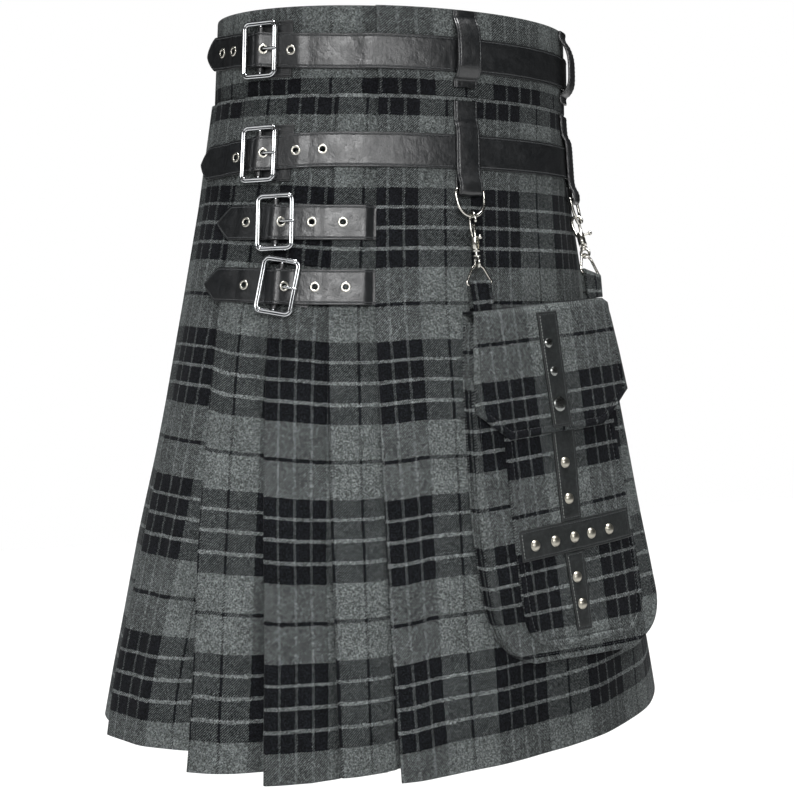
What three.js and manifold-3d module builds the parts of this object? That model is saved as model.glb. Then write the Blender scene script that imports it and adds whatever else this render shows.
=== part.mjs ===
// A utility kilt of grey and black tartan, worn form, open at the waist and the hem.
// Millimetres, +Z up. The origin is the middle of the waist, at the height of the upper straps.
// The front faces -Y and the wearer's right side is at -X.

import * as THREE from 'three';
import { mergeVertices } from 'three/addons/utils/BufferGeometryUtils.js';
import Module from 'manifold-3d';

const wasm = await Module();
wasm.setup();

// Cloth and leather
const SEAM = 0.3;          // space kept between two pieces at a seam
const CLOTH = 1.1;         // one layer of tartan
const BAND = 2.4;          // the waistband, folded double
const LEATHER = 2.0;       // straps and belt loops
const TRIM = 1.6;          // thin leather trim on the pocket
const SNAP = { height: 1.4, wide: 6, narrow: 3.8 };
const STUD = { height: 2.6, radius: 4.4 };

// Heights
const TOP = 31;            // upper edge of the waistband
const BAND_FOOT = -37;     // seam between the waistband and the skirt
const HEM = -560;

// The wearer's body is an oval at every height. Angles are in degrees round it: 0 is the wearer's
// left (+X), 90 is the front (-Y), 180 is the wearer's right (-X) and 270 is the back.
//   z       height of the row
//   halfX   half width of the oval, side to side
//   halfY   half depth of the oval, front to back
//   midX    where the middle of the oval lies
//   edge    angle of the over-apron's free edge
//   inner   how far the hidden folds of the pleats lie out from the oval
//   outer   how far the showing folds of the pleats lie out from the oval
//   fold    radius of a fold
//   under   depth of the hidden layer of a pleat
//   apron   how far the over-apron lies out from the oval
//   open    0 where a pleat is pressed flat, 1 where it hangs open
const BODY = [
  { z: 31, halfX: 148, halfY: 104, midX: -4, edge: 112,
    inner: 0.8, outer: 4.6, fold: 0.95, under: 16, apron: 4.6, open: 0 },
  { z: -37, halfX: 150, halfY: 108, midX: -5, edge: 111,
    inner: 0.8, outer: 4.6, fold: 0.95, under: 16, apron: 4.6, open: 0 },
  { z: -120, halfX: 160, halfY: 116, midX: -7, edge: 110.8,
    inner: 0.8, outer: 4.6, fold: 0.95, under: 16, apron: 4.6, open: 0 },
  { z: -200, halfX: 174, halfY: 126, midX: -7, edge: 110.8,
    inner: 0.6, outer: 4.9, fold: 1.0, under: 18, apron: 4.8, open: 0.1 },
  { z: -280, halfX: 188, halfY: 136, midX: -5, edge: 110,
    inner: -1, outer: 8, fold: 1.2, under: 21, apron: 5, open: 0.5 },
  { z: -360, halfX: 203, halfY: 146, midX: -3.5, edge: 109,
    inner: -4, outer: 11, fold: 1.4, under: 24, apron: 6, open: 1 },
  { z: -440, halfX: 218, halfY: 157, midX: -2, edge: 108.1,
    inner: -8, outer: 14, fold: 1.6, under: 27, apron: 6.5, open: 1 },
  { z: -520, halfX: 233, halfY: 167, midX: -0.5, edge: 107,
    inner: -12, outer: 17, fold: 1.8, under: 30, apron: 7, open: 1 },
  { z: HEM, halfX: 240, halfY: 170, midX: 0, edge: 106.2,
    inner: -14, outer: 18, fold: 1.8, under: 30, apron: 7, open: 1 },
];

// The pleats, from the free edge of the over-apron round the wearer's right side and the back.
//   swing   how far the fold moves along the hem, in mm, plus is away from the apron's edge
//   lift    how strongly the pleat hangs open, 1 is the mean
//   rise    how far the pleat's hem hangs above the lowest one
const PLEATS = [
  { swing: -6, lift: 0.9, rise: 9 },
  { swing: -14, lift: 1.1, rise: 3 },
  { swing: -18, lift: 1.05, rise: 7 },
  { swing: 8, lift: 1.0, rise: 16 },
  { swing: 4, lift: 0.9, rise: 14 },
  { swing: -6, lift: 1.1, rise: 9 },
  { swing: 5, lift: 0.95, rise: 12 },
  { swing: -4, lift: 1.05, rise: 7 },
  { swing: 6, lift: 0.85, rise: 10 },
  { swing: -5, lift: 1.1, rise: 6 },
  { swing: 3, lift: 1.0, rise: 9 },
  { swing: 6, lift: 0.9, rise: 12 },
  { swing: -5, lift: 1.05, rise: 14 },
  { swing: 0, lift: 0.8, rise: 17 },
];
const FIRST_PLEAT = 0.78;  // the first pleat shows this share of a whole one
const LEFT_SEAM = 345;     // angle of the seam between the last pleat and the over-apron
const UNDER_END = 9;       // angle where the hidden under-apron ends
const UNDER_START = 42;    // how far under the apron's edge the first pleat begins
const APRON_RISE = 19;     // how far the apron's hem rises from its free edge to the left hip
const UNDER_RISE = 7;      // how far the hidden under-apron ends above the apron

// Straps and their buckles. Angles as above, heights in mm.
//   from, to    angle of the fixed end and of the pointed tip
//   z, tipZ     height of the strap's middle along its length and at its tip
//   buckle      angle of the buckle's middle
//   tilt        how far the buckle is turned in its plane, in degrees
//   prong       angle of the eyelet that the prong passes through
//   eyelets     angles of the other eyelets
//   base        how far the outside of the cloth under the buckle lies out from the oval
//   patch       height of the leather patch that holds the buckle
//   tipLift     how far the tip stands off the cloth
//   crest       how high the strap arches over the buckle's middle bar
const STRAPS = [
  { name: 'strap_1', from: -12, to: 186, z: -4.6, tipZ: 2, buckle: 150.6, tilt: 0, prong: 148.6,
    eyelets: [139, 164.5, 174], base: 2.9, patch: 44, tipLift: 6, crest: 6.2 },
  { name: 'strap_2', from: -12, to: 181, z: -80.5, tipZ: -87, buckle: 147.6, tilt: 1, prong: 145.6,
    eyelets: [127, 135.2, 157.5], base: 5.15, patch: 44, tipLift: 3, crest: 6.2 },
  { name: 'strap_3', from: 108.5, to: 163, z: -137, tipZ: -136, buckle: 139.6, tilt: 2, prong: 137.6,
    eyelets: [120, 128.7, 150], base: 5.4, patch: 26, tipLift: 1, crest: 6.4 },
  { name: 'strap_4', from: 108.5, to: 165, z: -186.8, tipZ: -184, buckle: 137, tilt: -9, prong: 135,
    eyelets: [118.6, 126.7, 148], base: 5.65, patch: 26, tipLift: 1, crest: 7.6 },
];
const STRAP_WIDTH = 27;
const TIP_LENGTH = 13;
const EYELET = { outer: 4.9, hole: 2.8, proud: 0.8 };
const BUCKLE = { width: 32, height: 45, bar: 4, thick: 3, corner: 6, pin: 1.4, roll: 2.7, drop: 1.5 };
const PATCH = { thick: 1.2 };

// Belt loops round the waistband, and where the two lower ones hold a D-ring.
const LOOP_WIDTH = 21;
const LOOP_ANGLES = [84.5, 32, 315, 270, 225];
const RING_LOOPS = [84.5, 32];
const RING = { width: 24, drop: 21, wire: 1.25, z: -111, out: 9.4, lean: 12 };
const RING_CONTACT = [90, 130];   // where round each D-ring its hook hangs, 90 is the lowest point

// The pocket hangs in front of the wearer's left thigh. Its places are given as p, the distance
// along the body from a line near its middle, plus to the wearer's left, and z. The cloth is level
// in z, and the whole pocket rises to the wearer's left by TILT for every millimetre.
//   angle     where p is 0
//   back      how far the pocket's back lies out from the oval
//   front     how far its front lies out
//   swingOut  how far its outer side stands away from the body
const POCKET = { angle: 68.5, back: 6.6, front: 16, wall: 1.3, swingOut: 24, swingFrom: -30, swingOver: 174 };
const TILT = 0.085;
//   left, right   where the piece ends at that height
const BAG = [
  { z: -209, left: -62, right: 68 },
  { z: -250, left: -69, right: 77 },
  { z: -310, left: -74, right: 83 },
  { z: -370, left: -78, right: 88 },
  { z: -425, left: -77, right: 94 },
  { z: -448, left: -73.5, right: 95.5 },
  { z: -464, left: -66, right: 87 },
  { z: -474, left: -56, right: 70 },
  { z: -479, left: -44, right: 50 },
];
const PATCH_POCKET = [
  { z: -286, left: -46.5, right: 66 },
  { z: -340, left: -48.5, right: 69 },
  { z: -400, left: -50, right: 72 },
  { z: -432, left: -50, right: 73 },
  { z: -452, left: -47.5, right: 70 },
  { z: -463, left: -38, right: 60 },
  { z: -468, left: -26, right: 45 },
];
const FLAP = [
  { z: -208, left: -63.5, right: 73.5 },
  { z: -222, left: -66, right: 76.5 },
  { z: -245, left: -69, right: 80.5 },
  { z: -277, left: -73, right: 85 },
  { z: -301, left: -44.5, right: 50 },
];
const FLAP_ROOF = -200.7;
const FLAP_OUT = 4.6;      // from the pocket's front to the inside of the flap

const rad = Math.PI / 180;
const v3 = (x, y, z) => new THREE.Vector3(x, y, z);
const mix = (a, b, t) => a + (b - a) * t;
const clamp01 = (t) => Math.min(1, Math.max(0, t));
const smooth = (a, b, x) => {
  const t = clamp01((x - a) / (b - a));
  return t * t * (3 - 2 * t);
};

// A row of a table at height z, with every column interpolated.
function rowAt(table, z) {
  let i = 0;
  while (i < table.length - 2 && z < table[i + 1].z) i += 1;
  const low = table[i];
  const high = table[i + 1];
  const t = clamp01((z - low.z) / (high.z - low.z));
  return Object.fromEntries(Object.keys(low).map((key) => [key, mix(low[key], high[key], t)]));
}

function ovalPoint(z, angle, out) {
  const row = rowAt(BODY, z);
  const c = Math.cos(angle * rad);
  const s = Math.sin(angle * rad);
  const nx = c / row.halfX;
  const ny = -s / row.halfY;
  const n = Math.hypot(nx, ny);
  return v3(row.midX + row.halfX * c + (out * nx) / n, -row.halfY * s + (out * ny) / n, z);
}

// The angle reached from a start after a distance along the oval, plus for a growing angle.
function travel(z, start, distance, out = 0) {
  const row = rowAt(BODY, z);
  const step = Math.sign(distance) * 0.5;
  let angle = start;
  let left = Math.abs(distance);
  for (;;) {
    const mid = (angle + step / 2) * rad;
    const length = 0.5 * rad * Math.hypot((row.halfX + out) * Math.sin(mid), (row.halfY + out) * Math.cos(mid));
    if (length >= left) return angle + step * (left / length);
    left -= length;
    angle += step;
  }
}

function arcLength(z, from, to) {
  const row = rowAt(BODY, z);
  let sum = 0;
  const steps = 400;
  for (let i = 0; i < steps; i += 1) {
    const mid = mix(from, to, (i + 0.5) / steps) * rad;
    sum += Math.hypot(row.halfX * Math.sin(mid), row.halfY * Math.cos(mid));
  }
  return (sum * (to - from) * rad) / steps;
}

// Meshes

function geometryOf(points, triangles) {
  const geometry = new THREE.BufferGeometry();
  const places = points.flatMap((p) => [p.x, p.y, p.z]);
  geometry.setAttribute('position', new THREE.Float32BufferAttribute(places, 3));
  let volume = 0;
  for (const [a, b, c] of triangles) {
    volume += points[a].dot(new THREE.Vector3().crossVectors(points[b], points[c]));
  }
  geometry.setIndex(triangles.flatMap(([a, b, c]) => (volume < 0 ? [a, c, b] : [a, b, c])));
  return geometry;
}

// A closed wall between two grids of points, front[i][j] and back[i][j].
function wall(front, back) {
  const columns = front.length;
  const rows = front[0].length;
  const points = [...front.flat(), ...back.flat()];
  const f = (i, j) => i * rows + j;
  const b = (i, j) => columns * rows + i * rows + j;
  const triangles = [];
  const quad = (p, q, r, s) => triangles.push([p, q, r], [p, r, s]);
  for (let i = 0; i < columns - 1; i += 1) {
    for (let j = 0; j < rows - 1; j += 1) {
      quad(f(i, j), f(i + 1, j), f(i + 1, j + 1), f(i, j + 1));
      quad(b(i, j), b(i, j + 1), b(i + 1, j + 1), b(i + 1, j));
    }
    quad(f(i, 0), b(i, 0), b(i + 1, 0), f(i + 1, 0));
    quad(f(i, rows - 1), f(i + 1, rows - 1), b(i + 1, rows - 1), b(i, rows - 1));
  }
  for (let j = 0; j < rows - 1; j += 1) {
    quad(f(0, j), f(0, j + 1), b(0, j + 1), b(0, j));
    quad(f(columns - 1, j), b(columns - 1, j), b(columns - 1, j + 1), f(columns - 1, j + 1));
  }
  return geometryOf(points, triangles);
}

// A wall whose middle follows a level path at each height. Paths run from column to column.
function wallFromPaths(paths, thickness) {
  const offsetPath = (path, half) => path.map((p, i) => {
    const before = path[Math.max(0, i - 1)];
    const after = path[Math.min(path.length - 1, i + 1)];
    const a = v3(p.x - before.x, p.y - before.y, 0).normalize();
    const b = v3(after.x - p.x, after.y - p.y, 0).normalize();
    const along = a.clone().add(b).normalize();
    const bend = Math.max(0.6, i > 0 && i < path.length - 1 ? along.dot(b) : 1);
    return v3(p.x + (along.y * half) / bend, p.y - (along.x * half) / bend, p.z);
  });
  const front = paths.map((path) => offsetPath(path, thickness / 2));
  const back = paths.map((path) => offsetPath(path, -thickness / 2));
  const turned = (grid) => grid[0].map((_, i) => grid.map((path) => path[i]));
  return wall(turned(front), turned(back));
}

// A round wire through points in one plane, whose normal is given. A closed one joins its ends.
function wire(points, radius, sides, normal, closed = false) {
  const count = points.length;
  const ring = points.map((p, i) => {
    const before = points[closed ? (i + count - 1) % count : Math.max(0, i - 1)];
    const after = points[closed ? (i + 1) % count : Math.min(count - 1, i + 1)];
    const side = new THREE.Vector3().crossVectors(after.clone().sub(before), normal).normalize();
    return Array.from({ length: sides }, (_, k) => {
      const turn = ((k + 0.5) / sides) * 2 * Math.PI;
      return p.clone().addScaledVector(side, radius * Math.cos(turn))
        .addScaledVector(normal, radius * Math.sin(turn));
    });
  });
  const triangles = [];
  const at = (i, k) => (i % count) * sides + (k % sides);
  for (let i = 0; i < (closed ? count : count - 1); i += 1) {
    for (let k = 0; k < sides; k += 1) {
      triangles.push([at(i, k), at(i + 1, k), at(i + 1, k + 1)], [at(i, k), at(i + 1, k + 1), at(i, k + 1)]);
    }
  }
  if (!closed) {
    for (let k = 1; k < sides - 1; k += 1) {
      triangles.push([at(0, 0), at(0, k), at(0, k + 1)]);
      triangles.push([at(count - 1, 0), at(count - 1, k + 1), at(count - 1, k)]);
    }
  }
  return geometryOf(ring.flat(), triangles);
}

function toSolid(geometry, matrix) {
  const copy = new THREE.BufferGeometry();
  copy.setAttribute('position', geometry.getAttribute('position').clone());
  if (geometry.index) copy.setIndex(geometry.index.clone());
  if (matrix) copy.applyMatrix4(matrix);
  const merged = mergeVertices(copy, 1e-4);
  return new wasm.Manifold(new wasm.Mesh({
    numProp: 3,
    vertProperties: new Float32Array(merged.getAttribute('position').array),
    triVerts: new Uint32Array(merged.index.array),
  }));
}

function fromSolid(solid) {
  const mesh = solid.getMesh();
  const geometry = new THREE.BufferGeometry();
  geometry.setAttribute('position', new THREE.Float32BufferAttribute(mesh.vertProperties, 3));
  geometry.setIndex(Array.from(mesh.triVerts));
  return geometry;
}

// Materials and the group

const kilt = new THREE.Group();
const paint = (color, roughness, metalness) => new THREE.MeshStandardMaterial({ color, roughness, metalness });
const MATERIALS = {
  tartan: () => paint(0x55595a, 0.9, 0),
  leather: () => paint(0x17181a, 0.45, 0),
  nickel: () => paint(0xc9c6bc, 0.3, 1),
  chrome: () => paint(0xd9dcdf, 0.12, 1),
};

function add(name, geometry, material, matrix) {
  const mesh = new THREE.Mesh(geometry, MATERIALS[material]());
  mesh.name = name;
  if (matrix) mesh.applyMatrix4(matrix);
  kilt.add(mesh);
}

// A frame that lies on the body: x runs to the wearer's left, y up along the cloth, z outward.
function frameOn(z, angle, out) {
  const x = ovalPoint(z, angle - 0.5, out).sub(ovalPoint(z, angle + 0.5, out)).normalize();
  const up = ovalPoint(z + 4, angle, out).sub(ovalPoint(z - 4, angle, out)).normalize();
  const outward = new THREE.Vector3().crossVectors(x, up).normalize();
  up.crossVectors(outward, x);
  return new THREE.Matrix4().makeBasis(x, up, outward).setPosition(ovalPoint(z, angle, out));
}

// Skirt

// The cloth hangs a little unevenly: lower rows are raised by their share of the hem's rise.
function hang(point, z, rise) {
  point.z += rise * smooth(-230, HEM, z);
  return point;
}

function apronRise(z, angle) {
  return APRON_RISE * clamp01((rowAt(BODY, z).edge - angle) / 90);
}

const SKIRT_Z = [BAND_FOOT - SEAM, -120, -200, -280, -360, -440, -520, HEM];

// How far along the body each showing fold lies from the apron's free edge.
function foldPlaces(z) {
  const total = arcLength(z, rowAt(BODY, z).edge, LEFT_SEAM);
  const pitch = total / (PLEATS.length - 1 + FIRST_PLEAT);
  const swinging = smooth(-200, HEM, z);
  return PLEATS.map((pleat, k) => (k + FIRST_PLEAT) * pitch + pleat.swing * swinging);
}

// The level path of the pleats numbered from first to last, as distances along and out, and rise.
function pleatPath(z, first, last) {
  const row = rowAt(BODY, z);
  const folds = foldPlaces(z);
  const riseOf = (k) => PLEATS[Math.min(PLEATS.length - 1, Math.max(0, k))].rise;
  const path = [];
  for (let k = first; k <= last; k += 1) {
    const lift = mix(1, PLEATS[k].lift, row.open);
    const outer = row.outer * lift;
    const fold = folds[k];
    const before = k === 0 ? 0 : folds[k - 1];
    const start = k === 0 ? -UNDER_START : before - row.under;
    const ramp = (s) => mix(row.inner, outer, (s - start) / (fold - start));
    const rise = PLEATS[k].rise;
    const hidden = mix(riseOf(k - 1), rise, 0.5);
    const next = mix(rise, riseOf(k + 1), 0.5);
    if (k === 0) {
      path.push([start, row.inner, rise], [-row.under, mix(row.inner, ramp(-row.under), row.open * 0.3), rise]);
    } else {
      path.push([start - row.fold, row.inner + row.fold, hidden], [start, row.inner, hidden]);
    }
    path.push([before + 2, mix(row.inner, ramp(before + 2), row.open), rise]);
    path.push([fold - row.under - 2, mix(outer, ramp(fold - row.under - 2), row.open), rise]);
    path.push([fold, outer, rise], [fold + row.fold, outer - row.fold, rise]);
    path.push([fold, outer - 2 * row.fold, rise]);
    path.push([fold - row.under, row.inner + 2 * row.fold, next]);
  }
  if (first > 0) path.shift();
  return path.map(([s, n, rise]) => hang(ovalPoint(z, travel(z, row.edge, s), n), z, rise));
}

function addPleats(name, first, last) {
  add(name, wallFromPaths(SKIRT_Z.map((z) => pleatPath(z, first, last)), CLOTH), 'tartan');
}

// The over-apron lies over the first pleat at its free edge and tucks under the last one.
function apronOut(z, angle) {
  const row = rowAt(BODY, z);
  const side = mix(row.apron, Math.min(row.apron, 2), row.open);
  const middle = mix(row.apron, side, smooth(row.edge - 3, row.edge - 17, angle));
  return mix(row.inner, middle, smooth(LEFT_SEAM - 360, 3, angle));
}

function addApron() {
  const columns = 26;
  const paths = SKIRT_Z.map((z) => {
    const row = rowAt(BODY, z);
    const tuck = travel(z, LEFT_SEAM - 360, -(row.under - 1.5));
    return Array.from({ length: columns }, (_, i) => {
      const angle = mix(row.edge, tuck, i / (columns - 1));
      return hang(ovalPoint(z, angle, apronOut(z, angle)), z, apronRise(z, angle));
    });
  });
  add('over_apron', wallFromPaths(paths, CLOTH), 'tartan');
}

function addUnderApron() {
  const columns = 16;
  const paths = SKIRT_Z.map((z) => {
    const row = rowAt(BODY, z);
    const start = travel(z, row.edge, -UNDER_START - SEAM);
    return Array.from({ length: columns }, (_, i) => {
      const angle = mix(start, UNDER_END, i / (columns - 1));
      return hang(ovalPoint(z, angle, row.inner), z, apronRise(z, angle) + UNDER_RISE);
    });
  });
  add('under_apron', wallFromPaths(paths, CLOTH), 'tartan');
}

// Waistband: one strip round the back and under the apron, and one over the apron.

const BAND_OUT = 1.7;
const OVER_OUT = 4.6;

function bandPath(z, from, to, columns, out) {
  return Array.from({ length: columns }, (_, i) => {
    const angle = mix(from, to, i / (columns - 1));
    return ovalPoint(z, angle, out(angle));
  });
}

function addWaistband() {
  const heights = [TOP, 0, BAND_FOOT];
  const gap = 0.15;
  add('waistband', wallFromPaths(
    heights.map((z) => bandPath(z, UNDER_END, LEFT_SEAM - gap, 56, () => BAND_OUT)), BAND), 'tartan');
  const over = (angle) => mix(BAND_OUT, OVER_OUT + 0.1, smooth(LEFT_SEAM - 360, 2, angle));
  add('waistband_over', wallFromPaths(
    heights.map((z) => bandPath(z, LEFT_SEAM - 360 + gap, rowAt(BODY, z).edge, 26, over)), BAND), 'tartan');
}

// Straps

// How far the middle of a strap lies out from the oval at a place along it.
function strapOut(strap, angle) {
  const row = rowAt(BODY, strap.z);
  const perDegree = arcLength(strap.z, strap.buckle - 1, strap.buckle + 1) / 2;
  const fromBuckle = Math.abs(angle - strap.buckle) * perDegree;
  const rest = strap.base + SEAM + LEATHER / 2;
  const held = buckleOut(strap) - BUCKLE.drop - SEAM - LEATHER / 2;
  const arch = fromBuckle < 11 ? (strap.crest / 2) * (1 + Math.cos((Math.PI * fromBuckle) / 11)) : 0;
  const near = mix(held, rest, smooth(29, 37, fromBuckle));
  const tip = strap.tipLift * smooth(strap.to - 14, strap.to, angle);
  let out = near + arch + tip;
  if (strap.name === 'strap_1') {
    const over = OVER_OUT + 0.1 + BAND / 2 + SEAM + LEATHER / 2;
    const left = mix(BAND_OUT + BAND / 2 + SEAM + LEATHER / 2, over, smooth(LEFT_SEAM - 360, 2, angle));
    out = mix(left, out, smooth(row.edge + 1.5, row.edge + 9, angle));
  } else if (strap.name === 'strap_2') {
    const left = mix(3.6, rest, smooth(LEFT_SEAM - 360, 2, angle));
    out = angle < row.edge ? left : out;
  } else {
    out = mix(2.7, out, smooth(row.edge + 0.4, row.edge + 3.2, angle));
  }
  return out;
}

function buckleOut(strap) {
  return strap.base + SEAM + PATCH.thick + SEAM + LEATHER + SEAM + BUCKLE.drop;
}

// A place near a buckle: x to the wearer's left of its middle and y up, turned with the buckle.
function onStrap(strap, x, y, out) {
  const c = Math.cos(strap.tilt * rad);
  const s = Math.sin(strap.tilt * rad);
  const z = strapZ(strap, strap.buckle) + x * s + y * c;
  return ovalPoint(z, travel(z, strap.buckle, -(x * c - y * s) - 1e-6), out);
}

function strapZ(strap, angle) {
  return mix(strap.z, strap.tipZ, smooth(120, strap.to, angle));
}

function eyeletFrame(strap, angle) {
  const z = strapZ(strap, angle);
  const a = ovalPoint(z, angle - 1, strapOut(strap, angle - 1));
  const b = ovalPoint(z, angle + 1, strapOut(strap, angle + 1));
  const x = a.sub(b).normalize();
  const up = ovalPoint(z + 4, angle, 0).sub(ovalPoint(z - 4, angle, 0)).normalize();
  const outward = new THREE.Vector3().crossVectors(x, up).normalize();
  up.crossVectors(outward, x);
  return new THREE.Matrix4().makeBasis(x, up, outward)
    .setPosition(ovalPoint(z, angle, strapOut(strap, angle)));
}

function disc(radius, from, to, sides) {
  const geometry = new THREE.CylinderGeometry(radius, radius, to - from, sides);
  geometry.rotateX(Math.PI / 2);
  geometry.translate(0, 0, (from + to) / 2);
  return geometry;
}

function addStrap(strap) {
  const perDegree = arcLength(strap.z, strap.to - 2, strap.to) / 2;
  const shoulder = strap.to - TIP_LENGTH / perDegree;
  const stations = [];
  for (let angle = strap.from; angle < strap.buckle - 22; angle += 4.5) stations.push(angle);
  for (const away of [-19, -14, -11, -7, -5, -3.6, -2.2, 0, 2.2, 3.6, 5, 7, 11, 14, 19]) {
    stations.push(strap.buckle + away);
  }
  for (let angle = strap.buckle + 22; angle < shoulder - 1; angle += 4) stations.push(angle);
  if (strap.name !== 'strap_1') {
    const edge = rowAt(BODY, strap.z).edge;
    stations.push(edge + 0.3, edge + 1.2, edge + 2.2, edge + 3.3);
  } else {
    stations.push(rowAt(BODY, strap.z).edge + 1.4, rowAt(BODY, strap.z).edge + 9);
  }
  stations.push(shoulder, strap.to);
  const line = [...new Set(stations)].filter((a) => a >= strap.from && a <= strap.to).sort((a, b) => a - b);
  const clean = line.filter((a, i) => i === 0 || a - line[i - 1] > 0.6 || a === strap.to);
  const side = (offset) => clean.map((angle) => {
    const half = angle > shoulder + 0.01 ? 1.2 : STRAP_WIDTH / 2;
    const z = strapZ(strap, angle);
    const out = strapOut(strap, angle) + offset;
    return [ovalPoint(z + half, angle, out), ovalPoint(z - half, angle, out)];
  });
  let solid = toSolid(wall(side(LEATHER / 2), side(-LEATHER / 2)));
  for (const angle of [strap.prong, ...strap.eyelets]) {
    const frame = eyeletFrame(strap, angle);
    const face = LEATHER / 2;
    solid = solid.add(toSolid(disc(EYELET.outer, face - 1, face + EYELET.proud, 10), frame));
    solid = solid.subtract(toSolid(disc(EYELET.hole, -face - 3, face + 3, 10), frame));
  }
  add(strap.name, fromSolid(solid), 'leather');
}

function roundedRectangle(width, height, corner) {
  const shape = new THREE.Shape();
  const w = width / 2;
  const h = height / 2;
  shape.moveTo(w, corner - h);
  shape.absarc(w - corner, h - corner, corner, 0, Math.PI / 2);
  shape.absarc(corner - w, h - corner, corner, Math.PI / 2, Math.PI);
  shape.absarc(corner - w, corner - h, corner, Math.PI, 1.5 * Math.PI);
  shape.absarc(w - corner, corner - h, corner, 1.5 * Math.PI, 2 * Math.PI);
  return shape;
}

function addBuckle(strap) {
  const out = buckleOut(strap);
  const z = strapZ(strap, strap.buckle);
  const frame = frameOn(z, strap.buckle, out);
  frame.multiply(new THREE.Matrix4().makeRotationZ(strap.tilt * rad));
  const bevel = 0.8;
  const shape = roundedRectangle(BUCKLE.width - 2 * bevel, BUCKLE.height - 2 * bevel, BUCKLE.corner - bevel);
  const inside = roundedRectangle(
    BUCKLE.width - 2 * BUCKLE.bar + 2 * bevel, BUCKLE.height - 2 * BUCKLE.bar + 2 * bevel,
    BUCKLE.corner - BUCKLE.bar + bevel);
  shape.holes.push(new THREE.Path(inside.getPoints(3).reverse()));
  const loop = new THREE.ExtrudeGeometry(shape, {
    depth: BUCKLE.thick - 2 * bevel, bevelEnabled: true, bevelThickness: bevel, bevelSize: bevel,
    bevelSegments: 1, curveSegments: 3,
  });
  loop.translate(0, 0, bevel - BUCKLE.thick / 2);
  const pin = new THREE.CylinderGeometry(BUCKLE.pin, BUCKLE.pin, BUCKLE.height - BUCKLE.bar, 8);
  pin.translate(0, 0, -BUCKLE.drop + 0.4);
  add(strap.name.replace('strap', 'buckle'), fromSolid(toSolid(loop).add(toSolid(pin))), 'chrome', frame);

  const bend = v3(0, 1, 0);
  const prong = wire([v3(4.6, 0, -1), v3(4.8, 0, 2.4), v3(7.5, 0, 3.1), v3(17, 0, 2.9)], 0.9, 6, bend);
  add(strap.name.replace('strap', 'prong'), prong, 'chrome', frame);

  const rollLength = BUCKLE.height - 2 * BUCKLE.bar - 1.4;
  const outerRoll = new THREE.CylinderGeometry(BUCKLE.roll, BUCKLE.roll, rollLength, 10);
  const bore = new THREE.CylinderGeometry(BUCKLE.pin + SEAM, BUCKLE.pin + SEAM, rollLength + 2, 8);
  outerRoll.translate(0, 0, -BUCKLE.drop);
  bore.translate(0, 0, -BUCKLE.drop + 0.4);
  const plate = (level) => [-4, 1.8, 7.6, 13.4, 19.2, 25].map((x) => [-1, 0, 1].map(
    (y) => onStrap(strap, x, (y * strap.patch) / 2, strap.base + SEAM + level)));
  const patch = toSolid(outerRoll, frame).add(toSolid(wall(plate(PATCH.thick), plate(0))))
    .subtract(toSolid(bore, frame));
  add(strap.name.replace('strap', 'buckle_patch'), fromSolid(patch), 'leather');
}

// Belt loops, made as a strip whose section is drawn in distance out and height.

function strip(angle, path, thickness, width) {
  const half = width / 2;
  const side = (offset) => path.map(([out, z], i) => {
    const before = path[Math.max(0, i - 1)];
    const after = path[Math.min(path.length - 1, i + 1)];
    const length = Math.hypot(after[0] - before[0], after[1] - before[1]);
    const outN = -(after[1] - before[1]) / length;
    const zN = (after[0] - before[0]) / length;
    const place = (turn) => ovalPoint(z + zN * offset, angle + turn, out + outN * offset);
    const across = place(-1).sub(place(1)).normalize();
    return [-half, half].map((x) => place(0).addScaledVector(across, x));
  });
  return wall(side(thickness / 2), side(-thickness / 2));
}

function addBeltLoops() {
  LOOP_ANGLES.forEach((angle, i) => {
    const over = angle < 112 ? OVER_OUT + 0.1 : BAND_OUT;
    const foot = over + BAND / 2 + SEAM + LEATHER / 2;
    const crown = angle < 112 ? foot + 7 : foot + 6.4;
    const path = [
      [foot, 30], [foot, 24], [mix(foot, crown, 0.6), 17], [crown, 8], [crown + 0.6, -4],
      [crown, -14], [mix(foot, crown, 0.55), -20.5], [foot, -24], [foot, -30],
    ];
    add(`belt_loop_${i + 1}`, strip(angle, path, LEATHER, LOOP_WIDTH), 'leather');
  });
}

function addRingLoops() {
  const flat = OVER_OUT + CLOTH / 2 + SEAM + LEATHER / 2;
  const over = flat + LEATHER + 2 * SEAM;
  const turn = RING.wire + 1.5 * SEAM + LEATHER / 2;
  RING_LOOPS.forEach((angle, i) => {
    const path = [[flat, -41], [flat, -56], [over, -63.5], [over, -97.5], [RING.out + turn, -106]];
    for (const bend of [0, 45, 90, 135, 180]) {
      path.push([RING.out + turn * Math.cos(bend * rad), RING.z - turn * Math.sin(bend * rad)]);
    }
    path.push([flat, -101]);
    add(`ring_loop_${i + 1}`, strip(angle, path, LEATHER, LOOP_WIDTH), 'leather');

    const frame = hangingFrame(...ringEnds(angle), angle);
    add(`d_ring_${i + 1}`, dRing(), 'nickel', frame);
  });
}

// The bar and the lowest point of the D-ring at an angle.
function ringEnds(angle) {
  return [ovalPoint(RING.z, angle, RING.out), ovalPoint(RING.z - RING.drop, angle, RING.lean)];
}

// A frame at the upper of two points, with y running up from the lower one and z outward.
function hangingFrame(upper, lower, angle) {
  const y = upper.clone().sub(lower).normalize();
  const away = ovalPoint(0, angle, 10).sub(ovalPoint(0, angle, 0)).normalize();
  const x = new THREE.Vector3().crossVectors(y, away).normalize();
  const z = new THREE.Vector3().crossVectors(x, y);
  return new THREE.Matrix4().makeBasis(x, y, z).setPosition(upper);
}

// A place on the D-ring, 0 and 180 are the ends of its bar and 90 is its lowest point.
function ringPoint(turn) {
  const across = (RING.width / 2) * 1.04 * Math.cos(turn * rad);
  return v3(across, -3 - (RING.drop - 3) * Math.sin(turn * rad) ** 0.8, 0);
}

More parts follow.
